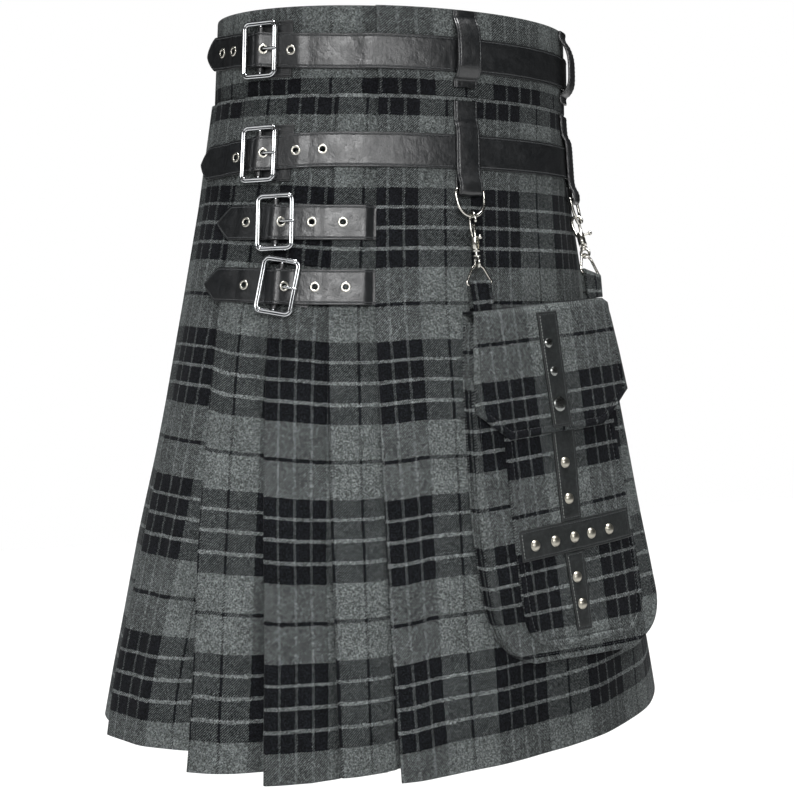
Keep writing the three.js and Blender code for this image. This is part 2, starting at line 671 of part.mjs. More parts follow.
function dRing() {
  const half = RING.width / 2;
  const points = [v3(-half, 0, 0), v3(-half / 3, 0, 0), v3(half / 3, 0, 0), v3(half, 0, 0)];
  for (let turn = 20; turn <= 160; turn += 20) points.push(ringPoint(turn));
  return wire(points, RING.wire, 8, v3(0, 0, 1), true);
}

// Pocket

function pocketPoint(p, z, out) {
  const level = Math.min(out, POCKET.front);
  const swing = POCKET.swingOut * smooth(0, POCKET.swingOver, p - POCKET.swingFrom);
  const height = z + TILT * p * smooth(-479, -400, z);
  return ovalPoint(height, travel(height, POCKET.angle, -p - 1e-6, level), out + swing);
}

// A panel that follows the pocket between two distances out. Rows give its outline.
function panel(rows, from, to, columns) {
  const grid = (out) => Array.from({ length: columns }, (_, i) => rows.map(
    (row) => pocketPoint(mix(row.left, row.right, i / (columns - 1)), row.z, out)));
  return wall(grid(to), grid(from));
}

function addPocketBag() {
  const { back, front, wall: thick } = POCKET;
  add('pocket_back', panel(BAG, back, back + thick, 13), 'tartan');
  add('pocket_front', panel(BAG, front - thick, front, 13), 'tartan');
  // The gusset is a strip round the sides and the bottom, just inside the two panels' edges.
  const outline = (depth) => {
    const raised = (z) => z + depth * clamp01((-430 - z) / 49);
    const left = BAG.map((row) => [row.left + depth, raised(row.z)]);
    const right = BAG.map((row) => [row.right - depth, raised(row.z)]);
    const foot = raised(BAG.at(-1).z);
    return [...left, [-20, foot], [3, foot], [26, foot], ...right.reverse()];
  };
  const side = (depth) => outline(depth).map(([p, z]) => [
    pocketPoint(p, z, back + thick + SEAM), pocketPoint(p, z, front - thick - SEAM),
  ]);
  add('pocket_gusset', wall(side(0.2), side(0.2 + thick)), 'tartan');
}

function addPocketCover() {
  const { back, front } = POCKET;
  const patch = 2;
  const thick = 1.6;
  add('pocket_patch', panel(PATCH_POCKET, front + SEAM, front + SEAM + patch, 11), 'tartan');
  // The flap starts at the bag's back, passes over its open top and hangs down before it.
  const lower = front + FLAP_OUT;
  const roof = { left: -62, right: 71 };
  const inner = [
    { ...roof, z: FLAP_ROOF - thick, out: back + 0.2 },
    { ...roof, z: FLAP_ROOF - thick, out: lower - 2 },
    ...FLAP.map((row) => ({ ...row, out: lower })),
  ];
  const outer = inner.map((row, i) => ({
    ...row,
    z: row.z + [thick, thick, 3.6, 0, 0, 0, 0][i],
    out: row.out + [0, 0.6, thick, thick, thick, thick, thick][i],
  }));
  const grid = (rows) => Array.from({ length: 13 }, (_, i) => rows.map(
    (row) => pocketPoint(mix(row.left, row.right, i / 12), row.z, row.out)));
  add('pocket_flap', wall(grid(outer), grid(inner)), 'tartan');

  const snaps = [[2, -230.5, SNAP.narrow], [4, -253, SNAP.narrow], [5.4, -279, SNAP.wide]];
  const flapStrap = [
    { z: -206, left: -5, right: 14 },
    { z: -240, left: -4.4, right: 14.2 },
    { z: -270, left: -3.6, right: 14.8 },
    { z: -297, left: -2.8, right: 15.4 },
  ];
  addTrim('flap_strap', flapStrap, lower + thick + SEAM, snaps, SNAP.height, 3);

  const onPatch = front + SEAM + patch + SEAM;
  const stud = (p, z) => [p, z, STUD.radius];
  const upperTrim = [
    { z: -292, left: -1.4, right: 21 },
    { z: -330, left: -2, right: 19 },
    { z: -371.6, left: -2.9, right: 16.5 },
  ];
  const bar = [
    { z: -372, left: -46.3, right: 66.5 },
    { z: -384, left: -46.3, right: 66.5 },
    { z: -396, left: -46.3, right: 67 },
  ];
  const lowerTrim = [
    { z: -396.4, left: -4, right: 14.2 },
    { z: -430, left: -2.5, right: 13.8 },
    { z: -457.5, left: -1.4, right: 13 },
  ];
  addTrim('trim_upper', upperTrim, onPatch, [stud(6.8, -326), stud(6.3, -354.5)], STUD.height, 3);
  const barStuds = [-32.8, -12.5, 6.8, 24, 43].map((p) => stud(p, -385));
  addTrim('trim_bar', bar, onPatch, barStuds, STUD.height, 9);
  addTrim('trim_lower', lowerTrim, onPatch, [stud(4.2, -416), stud(6, -437.3)], STUD.height, 3);
}

// A strip of thin leather with domed studs set in it.
function addTrim(name, rows, from, studs, height, columns) {
  let solid = toSolid(panel(rows, from, from + TRIM, columns));
  for (const [p, z, radius] of studs) {
    const face = from + TRIM;
    const x = pocketPoint(p + 1, z, face).sub(pocketPoint(p - 1, z, face)).normalize();
    const up = pocketPoint(p, z + 4, face).sub(pocketPoint(p, z - 4, face)).normalize();
    const outward = new THREE.Vector3().crossVectors(x, up).normalize();
    up.crossVectors(outward, x);
    const frame = new THREE.Matrix4().makeBasis(x, up, outward).setPosition(pocketPoint(p, z, face));
    const profile = [
      new THREE.Vector2(0, -0.8), new THREE.Vector2(radius, -0.8), new THREE.Vector2(radius, 0.3),
      new THREE.Vector2(radius * 0.72, height * 0.75), new THREE.Vector2(0, height),
    ];
    const dome = new THREE.LatheGeometry(profile, 8);
    dome.rotateX(Math.PI / 2);
    solid = solid.add(toSolid(dome, frame));
  }
  add(name, fromSolid(solid), 'leather');
}

// Snap hooks that carry the pocket

// Where the long side of each hook's ring is held by a tab of the pocket.
const TABS = [{ p: -49, z: -180.3 }, { p: 68, z: -181.6 }];
const TAB_OUT = 13;
const RING_BAR = { half: 11, wire: 1.1 };

function chainEnds(i) {
  const angle = RING_LOOPS[i];
  const top = ringPoint(RING_CONTACT[i]).applyMatrix4(hangingFrame(...ringEnds(angle), angle));
  return [top, pocketPoint(TABS[i].p, TABS[i].z, TAB_OUT)];
}

// The hook's swivel lets the ring turn until its long side lies along the pocket's top edge.
function ringFrame(i) {
  const [top, bottom] = chainEnds(i);
  const tab = TABS[i];
  const y = top.clone().sub(bottom).normalize();
  const x = pocketPoint(tab.p + 4, tab.z, TAB_OUT).sub(pocketPoint(tab.p - 4, tab.z, TAB_OUT));
  x.addScaledVector(y, -x.dot(y)).normalize();
  const z = new THREE.Vector3().crossVectors(x, y);
  return new THREE.Matrix4().makeBasis(x, y, z).setPosition(top);
}

function addHook(i) {
  const [top, bottom] = chainEnds(i);
  const length = top.distanceTo(bottom);
  const frame = hangingFrame(top, bottom, RING_LOOPS[i]);
  const flat = v3(1, 0, 0);

  // The hook's curve lies in the plane of y and z and passes over the D-ring's wire at the origin.
  const gauge = 1.3;
  const top2 = RING.wire + SEAM + gauge;
  const curve = [
    v3(0, -18, -2.6), v3(0, -14, -3.4), v3(0, -9, -4.4), v3(0, -4, -4.6), v3(0, 0, -3.9), v3(0, top2, -1.6),
    v3(0, top2 + 0.2, 0.8), v3(0, 1.2, 3.2), v3(0, -2, 4.2), v3(0, -5, 3.6),
  ];
  const barrel = { from: -28, to: -16, radius: 3.4, bore: 1.7 };
  const tube = new THREE.CylinderGeometry(barrel.radius, barrel.radius, barrel.to - barrel.from, 10);
  tube.translate(0, (barrel.to + barrel.from) / 2, 0);
  const bore = new THREE.CylinderGeometry(barrel.bore, barrel.bore, 12, 8);
  bore.translate(0, barrel.from + 2 + 6, 1.2);
  const slot = new THREE.BoxGeometry(2.4, 12, 6);
  slot.translate(0, barrel.from + 2 + 6, 4);
  const neck = new THREE.CylinderGeometry(1.5, 1.5, 3, 8);
  neck.translate(0, barrel.from - 1.3, 0);
  const foot = new THREE.CylinderGeometry(3.2, 2.6, 1.6, 10);
  foot.translate(0, barrel.from - 3.2, 0);
  const eyeY = barrel.from - 8.2;
  const eye = Array.from({ length: 12 }, (_, k) => {
    const turn = (k / 12) * 2 * Math.PI;
    return v3(0, eyeY + 4.3 * Math.cos(turn), 3.4 * Math.sin(turn));
  });
  const body = toSolid(wire(curve, gauge, 7, flat))
    .add(toSolid(tube)).subtract(toSolid(bore)).subtract(toSolid(slot))
    .add(toSolid(neck)).add(toSolid(foot)).add(toSolid(wire(eye, 1.2, 6, flat, true)));
  add(`hook_${i + 1}`, fromSolid(body), 'nickel', frame);

  // The bolt slides in the barrel. Its tip meets the end of the hook's curve.
  const bolt = new THREE.CylinderGeometry(1.2, 1.2, 13, 8);
  bolt.translate(0, -12.6, 1.2);
  const stem = new THREE.CylinderGeometry(0.9, 0.9, 6, 6);
  stem.rotateX(Math.PI / 2);
  stem.translate(0, -17.6, 4.6);
  const knob = new THREE.SphereGeometry(1.9, 8, 6);
  knob.translate(0, -17.6, 8.2);
  add(`bolt_${i + 1}`, fromSolid(toSolid(bolt).add(toSolid(stem)).add(toSolid(knob))), 'nickel', frame);

  // The ring hangs in the hook's eye and its long side is held by the pocket's tab.
  const apex = eyeY - 4.3 + 1.2 + SEAM + RING_BAR.wire;
  const ring = [
    v3(-1.6, apex, 0), v3(1.6, apex, 0), v3(5.4, apex - 3.4, 0), v3(RING_BAR.half, -length + 2, 0),
    v3(RING_BAR.half - 1.2, -length, 0), v3(0, -length, 0), v3(1.2 - RING_BAR.half, -length, 0),
    v3(-RING_BAR.half, -length + 2, 0), v3(-5.4, apex - 3.4, 0),
  ];
  add(`pocket_ring_${i + 1}`, wire(ring, RING_BAR.wire, 7, v3(0, 0, 1), true), 'nickel', ringFrame(i));
}

// Each tab is a strip of tartan folded round the ring's long side. It ends on the pocket's flap.
function addTab(i) {
  const [top, bottom] = chainEnds(i);
  const frame = ringFrame(i);
  const length = top.distanceTo(bottom);
  const thick = 1.6;
  const half = 9;
  const turn = RING_BAR.wire + 1.5 * SEAM + thick / 2;
  const foot = (out) => [-half, half].map((x) => pocketPoint(TABS[i].p + x, FLAP_ROOF + SEAM, TAB_OUT + out));
  const bends = [-20, 15, 55, 90, 125, 165, 200];
  const side = (offset) => [
    foot(turn + offset),
    ...bends.map((bend) => [-half, half].map((x) => v3(
      x, -length + (turn + offset) * Math.sin(bend * rad), (turn + offset) * Math.cos(bend * rad),
    ).applyMatrix4(frame))),
    foot(-turn - offset),
  ];
  add(`pocket_tab_${i + 1}`, wall(side(thick / 2), side(-thick / 2)), 'tartan');
}

addPleats('pleats_right', 0, 4);
addPleats('pleats_back', 5, 9);
addPleats('pleats_left', 10, 13);
addApron();
addUnderApron();
addWaistband();
STRAPS.forEach(addStrap);
STRAPS.forEach(addBuckle);
addBeltLoops();
addRingLoops();
addPocketBag();
addPocketCover();
[0, 1].forEach(addTab);
[0, 1].forEach(addHook);

export default kilt;
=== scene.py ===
# A utility kilt of grey and black tartan, dressed round its packed solids.
# Lengths are in millimetres until a mesh is made, and angles are in degrees round the wearer's waist:
# 0 is the wearer's left, 90 the front, 180 the wearer's right and 270 the back.

import math
from types import SimpleNamespace

import bmesh
import bpy
import numpy as np
from mathutils import Matrix, Vector


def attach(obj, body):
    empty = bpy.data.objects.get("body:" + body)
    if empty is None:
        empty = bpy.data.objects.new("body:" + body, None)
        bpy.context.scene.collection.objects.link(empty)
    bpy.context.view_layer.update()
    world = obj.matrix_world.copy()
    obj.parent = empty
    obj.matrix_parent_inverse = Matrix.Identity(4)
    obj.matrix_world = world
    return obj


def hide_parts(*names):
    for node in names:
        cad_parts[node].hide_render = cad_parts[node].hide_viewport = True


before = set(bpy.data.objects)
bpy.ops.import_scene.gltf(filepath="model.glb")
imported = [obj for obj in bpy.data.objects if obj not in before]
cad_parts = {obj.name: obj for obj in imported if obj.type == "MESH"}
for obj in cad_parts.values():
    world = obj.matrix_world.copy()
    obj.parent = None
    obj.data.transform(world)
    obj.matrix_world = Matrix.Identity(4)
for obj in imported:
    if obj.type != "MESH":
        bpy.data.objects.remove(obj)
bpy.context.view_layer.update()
scene = bpy.context.scene
MM = 0.001

# Cloth and leather
SEAM = 0.3
CLOTH = 1.1
BAND = 2.4
LEATHER = 2.0
TRIM = 1.6
TOP = 31.0
BAND_FOOT = -37.0
HEM = -560.0

# The wearer's body is an oval at every height, and the cloth lies round it. edge is the angle of the apron's
# free edge. inner and outer say how far out a pleat's hidden and shown sides lie, fold is the radius of its
# folds, and under is the depth of its hidden side. apron says how far out the apron lies, and open how far
# the pleats stand open.
BODY_COLUMNS = ("z", "half_x", "half_y", "mid_x", "edge", "inner", "outer", "fold", "under", "apron", "open")
BODY = np.array([
    (31, 148, 104, -4, 112, 0.8, 4.6, 0.95, 16, 4.6, 0),
    (-37, 150, 108, -5, 111, 0.8, 4.6, 0.95, 16, 4.6, 0),
    (-120, 160, 116, -7, 110.8, 0.8, 4.6, 0.95, 16, 4.6, 0),
    (-200, 174, 126, -7, 110.8, 0.6, 4.9, 1.0, 18, 4.8, 0.1),
    (-280, 188, 136, -5, 110, -1, 8, 1.2, 21, 5, 0.5),
    (-360, 203, 146, -3.5, 109, -4, 11, 1.4, 24, 6, 1),
    (-440, 218, 157, -2, 108.1, -8, 14, 1.6, 27, 6.5, 1),
    (-520, 233, 167, -0.5, 107, -12, 17, 1.8, 30, 7, 1),
    (HEM, 240, 170, 0, 106.2, -14, 18, 1.8, 30, 7, 1),
], dtype=float)

# The pleats from the apron's edge round the back: swing of the fold at the hem, lift, and rise of the hem.
PLEATS = [
    SimpleNamespace(swing=swing, lift=lift, rise=rise) for swing, lift, rise in (
        (-6, 0.9, 9), (-14, 1.1, 3), (-18, 1.05, 7), (8, 1.0, 16), (4, 0.9, 14), (-6, 1.1, 9), (5, 0.95, 12),
        (-4, 1.05, 7), (6, 0.85, 10), (-5, 1.1, 6), (3, 1.0, 9), (6, 0.9, 12), (-5, 1.05, 14), (0, 0.8, 17))
]
FIRST_PLEAT = 0.78         # of a pleat's pitch, from the apron's edge to the first fold
LEFT_SEAM = 345.0          # where the pleats end, beside the wearer's left hip
APRON_SEAM = LEFT_SEAM - 360
UNDER_END = 9.0
UNDER_START = 42.0         # mm behind the apron's edge
APRON_RISE = 19.0
UNDER_RISE = 7.0


def mix(a, b, t):
    return a + (b - a) * t


def clamp01(t):
    return np.clip(t, 0.0, 1.0)


def smooth(a, b, x):
    t = clamp01((np.asarray(x, dtype=float) - a) / (b - a))
    return t * t * (3 - 2 * t)


def one_shape(*values):
    """Numbers and arrays as arrays of one shape."""
    return np.broadcast_arrays(*(np.asarray(value, dtype=float) for value in values))


def units(rows):
    return rows / np.linalg.norm(rows, axis=-1, keepdims=True)


def body_row(z):
    """Every column of BODY at height z, a number or an array."""
    down = -np.asarray(z, dtype=float)
    return SimpleNamespace(**{
        name: np.interp(down, -BODY[:, 0], BODY[:, i]) for i, name in enumerate(BODY_COLUMNS)})


def oval_point(z, angle, out):
    """Points at a height and an angle, some way out from the body's oval."""
    z, angle, out = one_shape(z, angle, out)
    row = body_row(z)
    turn = np.radians(angle)
    c, s = np.cos(turn), np.sin(turn)
    nx, ny = c / row.half_x, -s / row.half_y
    n = np.hypot(nx, ny)
    return np.stack([row.mid_x + row.half_x * c + out * nx / n, -row.half_y * s + out * ny / n, z], axis=-1)


def travel(z, start, distance, out=0.0, steps=96):
    """The angle reached from a start after a distance along the oval."""
    row = body_row(z)
    half_x, half_y = row.half_x + out, row.half_y + out
    step = np.asarray(distance, dtype=float) / steps
    turn = np.radians(np.asarray(start, dtype=float)) + 0 * step
    for _ in range(steps):
        middle = turn + 0.5 * step / np.hypot(half_x * np.sin(turn), half_y * np.cos(turn))
        turn = turn + step / np.hypot(half_x * np.sin(middle), half_y * np.cos(middle))
    return np.degrees(turn)


def arc_length(z, start, end, steps=400):
    row = body_row(z)
    turn = np.radians(mix(start, end, (np.arange(steps) + 0.5) / steps))
    speed = np.hypot(row.half_x * np.sin(turn), row.half_y * np.cos(turn))
    return float(speed.sum() * math.radians(end - start) / steps)


def run_length(points, axis=0):
    """Distance along rows of points, starting at 0."""
    step = np.linalg.norm(np.diff(points, axis=axis), axis=-1)
    zero = np.zeros_like(np.take(step, [0], axis=axis))
    return np.concatenate([zero, np.cumsum(step, axis=axis)], axis=axis)


def smooth_line(points, per_span, closed=False):
    """A smooth line through points."""
    points = np.asarray(points, dtype=float)
    count = len(points)
    spans = count if closed else count - 1
    found = []
    for i in range(spans):
        if closed:
            p0, p1, p2, p3 = (points[(i + k) % count] for k in (-1, 0, 1, 2))
        else:
            p0, p1, p2, p3 = (points[min(max(i + k, 0), count - 1)] for k in (-1, 0, 1, 2))
        for k in range(per_span):
            t = k / per_span
            found.append(0.5 * (2 * p1 + (p2 - p0) * t + (2 * p0 - 5 * p1 + 4 * p2 - p3) * t * t
                                + (3 * p1 - p0 - 3 * p2 + p3) * t ** 3))
    if not closed:
        found.append(points[-1])
    return np.array(found)


# Meshes

def grid_faces(columns, rows, join_columns=False, join_rows=False):
    i = np.arange(columns if join_columns else columns - 1)
    j = np.arange(rows if join_rows else rows - 1)
    i, j = (a.ravel() for a in np.meshgrid(i, j, indexing="ij"))
    i2, j2 = (i + 1) % columns, (j + 1) % rows
    return np.stack([i * rows + j, i2 * rows + j, i2 * rows + j2, i * rows + j2], axis=-1)


class Piece:
    """One sewn or cast piece, gathered from several closed shells."""

    def __init__(self, name, *materials):
        self.name = name
        self.materials = materials
        self.points = []
        self.cloth = []
        self.faces = []
        self.slots = []
        self.count = 0

    def add(self, points, faces, cloth=None, material=None):
        points = np.asarray(points, dtype=float).reshape(-1, 3)
        cloth = np.zeros((len(points), 2)) if cloth is None else np.asarray(cloth, dtype=float).reshape(-1, 2)
        self.points.append(points)
        self.cloth.append(cloth)
        slot = 0 if material is None else self.materials.index(material)
        for face in faces:
            self.faces.append([int(v) + self.count for v in face])
            self.slots.append(slot)
        self.count += len(points)

    def add_wire(self, matrix, line, radius, sides, **options):
        points, faces = wire_shell(line, radius, sides, **options)
        self.add(place(points, matrix), faces)

    def mesh(self):
        """The shells as one mesh, with every face turned outward."""
        mesh = bpy.data.meshes.new(self.name)
        mesh.from_pydata((np.concatenate(self.points) * MM).tolist(), [], self.faces)
        shells = bmesh.new()
        shells.from_mesh(mesh)
        bmesh.ops.recalc_face_normals(shells, faces=shells.faces)
        shells.to_mesh(mesh)
        shells.free()
        return mesh

    def make(self, body, replaced=(), sharp=38):
        mesh = self.mesh()
        for material in self.materials:
            mesh.materials.append(material)
        mesh.polygons.foreach_set("material_index", self.slots)
        corners = np.empty(len(mesh.loops), dtype=np.int32)
        mesh.loops.foreach_get("vertex_index", corners)
        layer = mesh.uv_layers.new(name="cloth")
        layer.data.foreach_set("uv", (np.concatenate(self.cloth)[corners] * MM).ravel())
        mesh.shade_smooth()
        mesh.set_sharp_from_angle(angle=math.radians(sharp))
        piece = bpy.data.objects.new(self.name, mesh)
        scene.collection.objects.link(piece)
        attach(piece, body)
        if replaced:
            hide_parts(*replaced)
        return piece


def wall_shell(front, back, cloth=None):
    """A closed wall between two grids of points."""
    columns, rows = front.shape[:2]
    half = columns * rows
    faces = grid_faces(columns, rows)
    rim = [i * rows for i in range(columns)]
    rim += [(columns - 1) * rows + j for j in range(1, rows)]
    rim += [i * rows + rows - 1 for i in range(columns - 2, -1, -1)]
    rim += [j for j in range(rows - 2, 0, -1)]
    rim = np.array(rim)
    after = np.roll(rim, -1)
    sides = np.stack([rim, rim + half, after + half, after], axis=-1)
    points = np.concatenate([front.reshape(-1, 3), back.reshape(-1, 3)])
    both = None if cloth is None else np.concatenate([cloth.reshape(-1, 2)] * 2)
    return points, np.concatenate([faces, faces[:, ::-1] + half, sides]), both


def grid_normals(grid):
    normals = np.cross(np.gradient(grid, axis=0), np.gradient(grid, axis=1))
    return normals / np.maximum(np.linalg.norm(normals, axis=-1, keepdims=True), 1e-9)


def ring_shell(sections, closed=False):
    """A tube through sections of points, with flat ends unless it is closed."""
    sections = np.asarray(sections, dtype=float)
    count, sides = sections.shape[:2]
    faces = [list(f) for f in grid_faces(count, sides, join_columns=closed, join_rows=True)]
    if not closed:
        faces.append(list(range(sides)))
        faces.append([(count - 1) * sides + k for k in range(sides - 1, -1, -1)])
    return sections.reshape(-1, 3), faces


def wire_shell(line, radius, sides, closed=False, hint=(0.0, 0.0, 1.0)):
    """A round wire along a line of points. radius is a number or one for each point."""
    line = np.asarray(line, dtype=float)
    if closed:
        along = np.roll(line, -1, axis=0) - np.roll(line, 1, axis=0)
    else:
        along = np.gradient(line, axis=0)
    along = units(along)
    side = np.zeros_like(line)
    previous = np.array(hint, dtype=float)
    for i, a in enumerate(along):
        previous = previous - a * previous.dot(a)
        previous /= np.linalg.norm(previous)
        side[i] = previous
    third = np.cross(along, side)
    turn = (np.arange(sides) + 0.5) / sides * 2 * math.pi
    radius = np.broadcast_to(np.asarray(radius, dtype=float), (len(line),))[:, None, None]
    sections = (line[:, None] + radius * np.cos(turn)[None, :, None] * side[:, None]
                + radius * np.sin(turn)[None, :, None] * third[:, None])
    return ring_shell(sections, closed)


# A stitch: places along it with the thickness there, how its middle rises and its ends dip, how flat it is.
STITCH = [(-1.0, 0.35), (-0.45, 0.95), (0.45, 0.95), (1.0, 0.35)]
STITCH_RISE, STITCH_DIP, STITCH_FLAT = 0.12, 0.22, 1.25
STITCH_SIDES = 6
STITCH_REACH = 0.6         # how far to each side of a stitch its direction is read


def add_stitches(piece, line, above, material, pitch=3.4, length=2.3, radius=0.27):
    """Thread stitches along a line of points. above is the same line, lifted off the surface."""
    at = run_length(line)
    count = max(int(at[-1] / pitch), 1)
    places = (np.arange(count) + 0.5) * at[-1] / count

    def points_at(points, where):
        return np.stack([np.interp(where, at, points[:, k]) for k in range(3)], axis=-1)

    middle = points_at(line, places)
    along = units(points_at(line, places + STITCH_REACH) - points_at(line, places - STITCH_REACH))
    out = points_at(above, places) - middle
    out = units(out - along * (out * along).sum(axis=-1, keepdims=True))
    side = np.cross(along, out)
    turn = np.arange(STITCH_SIDES) / STITCH_SIDES * 2 * math.pi
    for i in range(count):
        sections = []
        for spot, thick in STITCH:
            lift = STITCH_RISE - STITCH_DIP * spot ** 2
            centre = middle[i] + along[i] * spot * length / 2 + out[i] * lift
            sections.append(centre + radius * thick * (
                np.cos(turn)[:, None] * side[i] * STITCH_FLAT + np.sin(turn)[:, None] * out[i]))
        piece.add(*ring_shell(sections), material=material)


def lathe_shell(profile, frame_matrix, sides=24):
    """A solid of revolution round the frame's z. profile is (radius, height) from axis to axis."""
    turn = np.arange(sides) / sides * 2 * math.pi
    sections = []
    for radius, height in profile:
        radius = max(radius, 0.01)
        section = [radius * np.cos(turn), radius * np.sin(turn), np.full(sides, height)]
        sections.append(np.stack(section, axis=-1))
    points, faces = ring_shell(sections)
    return place(points, frame_matrix), faces


def place(points, matrix):
    points = np.asarray(points, dtype=float)
    return points @ matrix[:3, :3].T + matrix[:3, 3]


def unit(v):
    return v / np.linalg.norm(v)


def basis(x, y, z, origin):
    matrix = np.eye(4)
    matrix[:3, 0], matrix[:3, 1], matrix[:3, 2], matrix[:3, 3] = x, y, z, origin
    return matrix


def face_frame(left, right, upper, lower, origin):
    """The frame of a place on a surface: x to the right, y up and z outward."""
    x = unit(right - left)
    outward = unit(np.cross(x, unit(upper - lower)))
    return basis(x, np.cross(outward, x), outward, origin)


# Materials

BLACK = (0.0060, 0.0065, 0.0079)
WARP_YARNS = {"black": BLACK, "grey": (0.088, 0.097, 0.096), "light": (0.082, 0.089, 0.089)}
WEFT_YARNS = {"black": BLACK, "grey": (0.100, 0.109, 0.108), "light": (0.138, 0.148, 0.148)}


def sett(block, line, grey, hair):
    """One repeat of the tartan, as yarns and their widths."""
    dark = [("black", block), ("light", line)] * 3 + [("black", block)]
    return dark + [("grey", grey), ("black", hair), ("grey", grey)]


BLOCK, LINE = 10.75, 2.0
WARP = sett(BLOCK, LINE, 21.5, 2.0)
WEFT = sett(13.7, 2.65, 27.7, 2.55)
WARP_REPEAT = sum(width for _, width in WARP)
WEFT_REPEAT = sum(width for _, width in WEFT)
WEFT_START = 110.6         # depth below the straps where the first dark band of the skirt begins
TWILL = 1.95               # from one diagonal of the weave to the next, along a thread


class Nodes:
    """A material's nodes, made and linked in short lines."""

    def __init__(self, name):
        self.material = bpy.data.materials.new(name)
        self.material.use_nodes = True
        self.tree = self.material.node_tree
        self.tree.nodes.clear()
        self.output = self.tree.nodes.new("ShaderNodeOutputMaterial")
        self.shader = self.tree.nodes.new("ShaderNodeBsdfPrincipled")
        self.link(self.shader.outputs[0], self.output.inputs["Surface"])

    def link(self, a, b):
        self.tree.links.new(a, b)

    def put(self, socket, value):
        if hasattr(value, "is_output"):
            self.link(value, socket)
        else:
            socket.default_value = value

    def node(self, kind, values=None, **settings):
        node = self.tree.nodes.new(kind)
        for key, value in settings.items():
            setattr(node, key, value)
        for key, value in (values or {}).items():
            self.put(node.inputs[key], value)
        return node

    def math(self, operation, a, b=0.0, c=0.0):
        return self.node("ShaderNodeMath", {0: a, 1: b, 2: c}, operation=operation).outputs[0]

    def vector(self, operation, a, b):
        second = "Scale" if operation == "SCALE" else 1
        return self.node("ShaderNodeVectorMath", {0: a, second: b}, operation=operation).outputs[0]

    def mix(self, share, a, b):
        node = self.node("ShaderNodeMix", data_type="RGBA")
        self.put(node.inputs[0], share)
        self.put(node.inputs[6], a)
        self.put(node.inputs[7], b)
        return node.outputs[2]

    def noise(self, vector, scale, detail=2.0, roughness=0.5):
        return self.node("ShaderNodeTexNoise", {
            "Vector": vector, "Scale": scale, "Detail": detail, "Roughness": roughness}).outputs[0]

    def span(self, value, low, high, start=0.0, end=1.0):
        return self.node("ShaderNodeMapRange", {
            "Value": value, "From Min": low, "From Max": high, "To Min": start, "To Max": end}).outputs[0]

    def place(self):
        return self.node("ShaderNodeTexCoord").outputs["Object"]

    def bump(self, height, distance, strength=1.0, normal=None):
        node = self.node("ShaderNodeBump", {"Height": height, "Distance": distance, "Strength": strength})
        if normal is not None:
            self.link(normal, node.inputs["Normal"])
        return node.outputs[0]

    def surface(self, **values):
        for key, value in values.items():
            self.put(self.shader.inputs[key.replace("_", " ")], value)


def stripes(nodes, where, repeat, yarns, colours):
    """The colour of the thread at a place along one set of threads, in metres."""
    share = nodes.math("FRACT", nodes.math("DIVIDE", where, repeat * MM))
    ramp = nodes.node("ShaderNodeValToRGB", {"Fac": share})
    ramp.color_ramp.interpolation = "CONSTANT"
    stops = ramp.color_ramp.elements
    start = 0.0
    for i, (yarn, width) in enumerate(yarns):
        stop = stops[i] if i < 2 else stops.new(min(start / repeat, 1.0))
        stop.position = start / repeat
        stop.color = (*colours[yarn], 1.0)
        start += width
    return ramp.outputs[0]


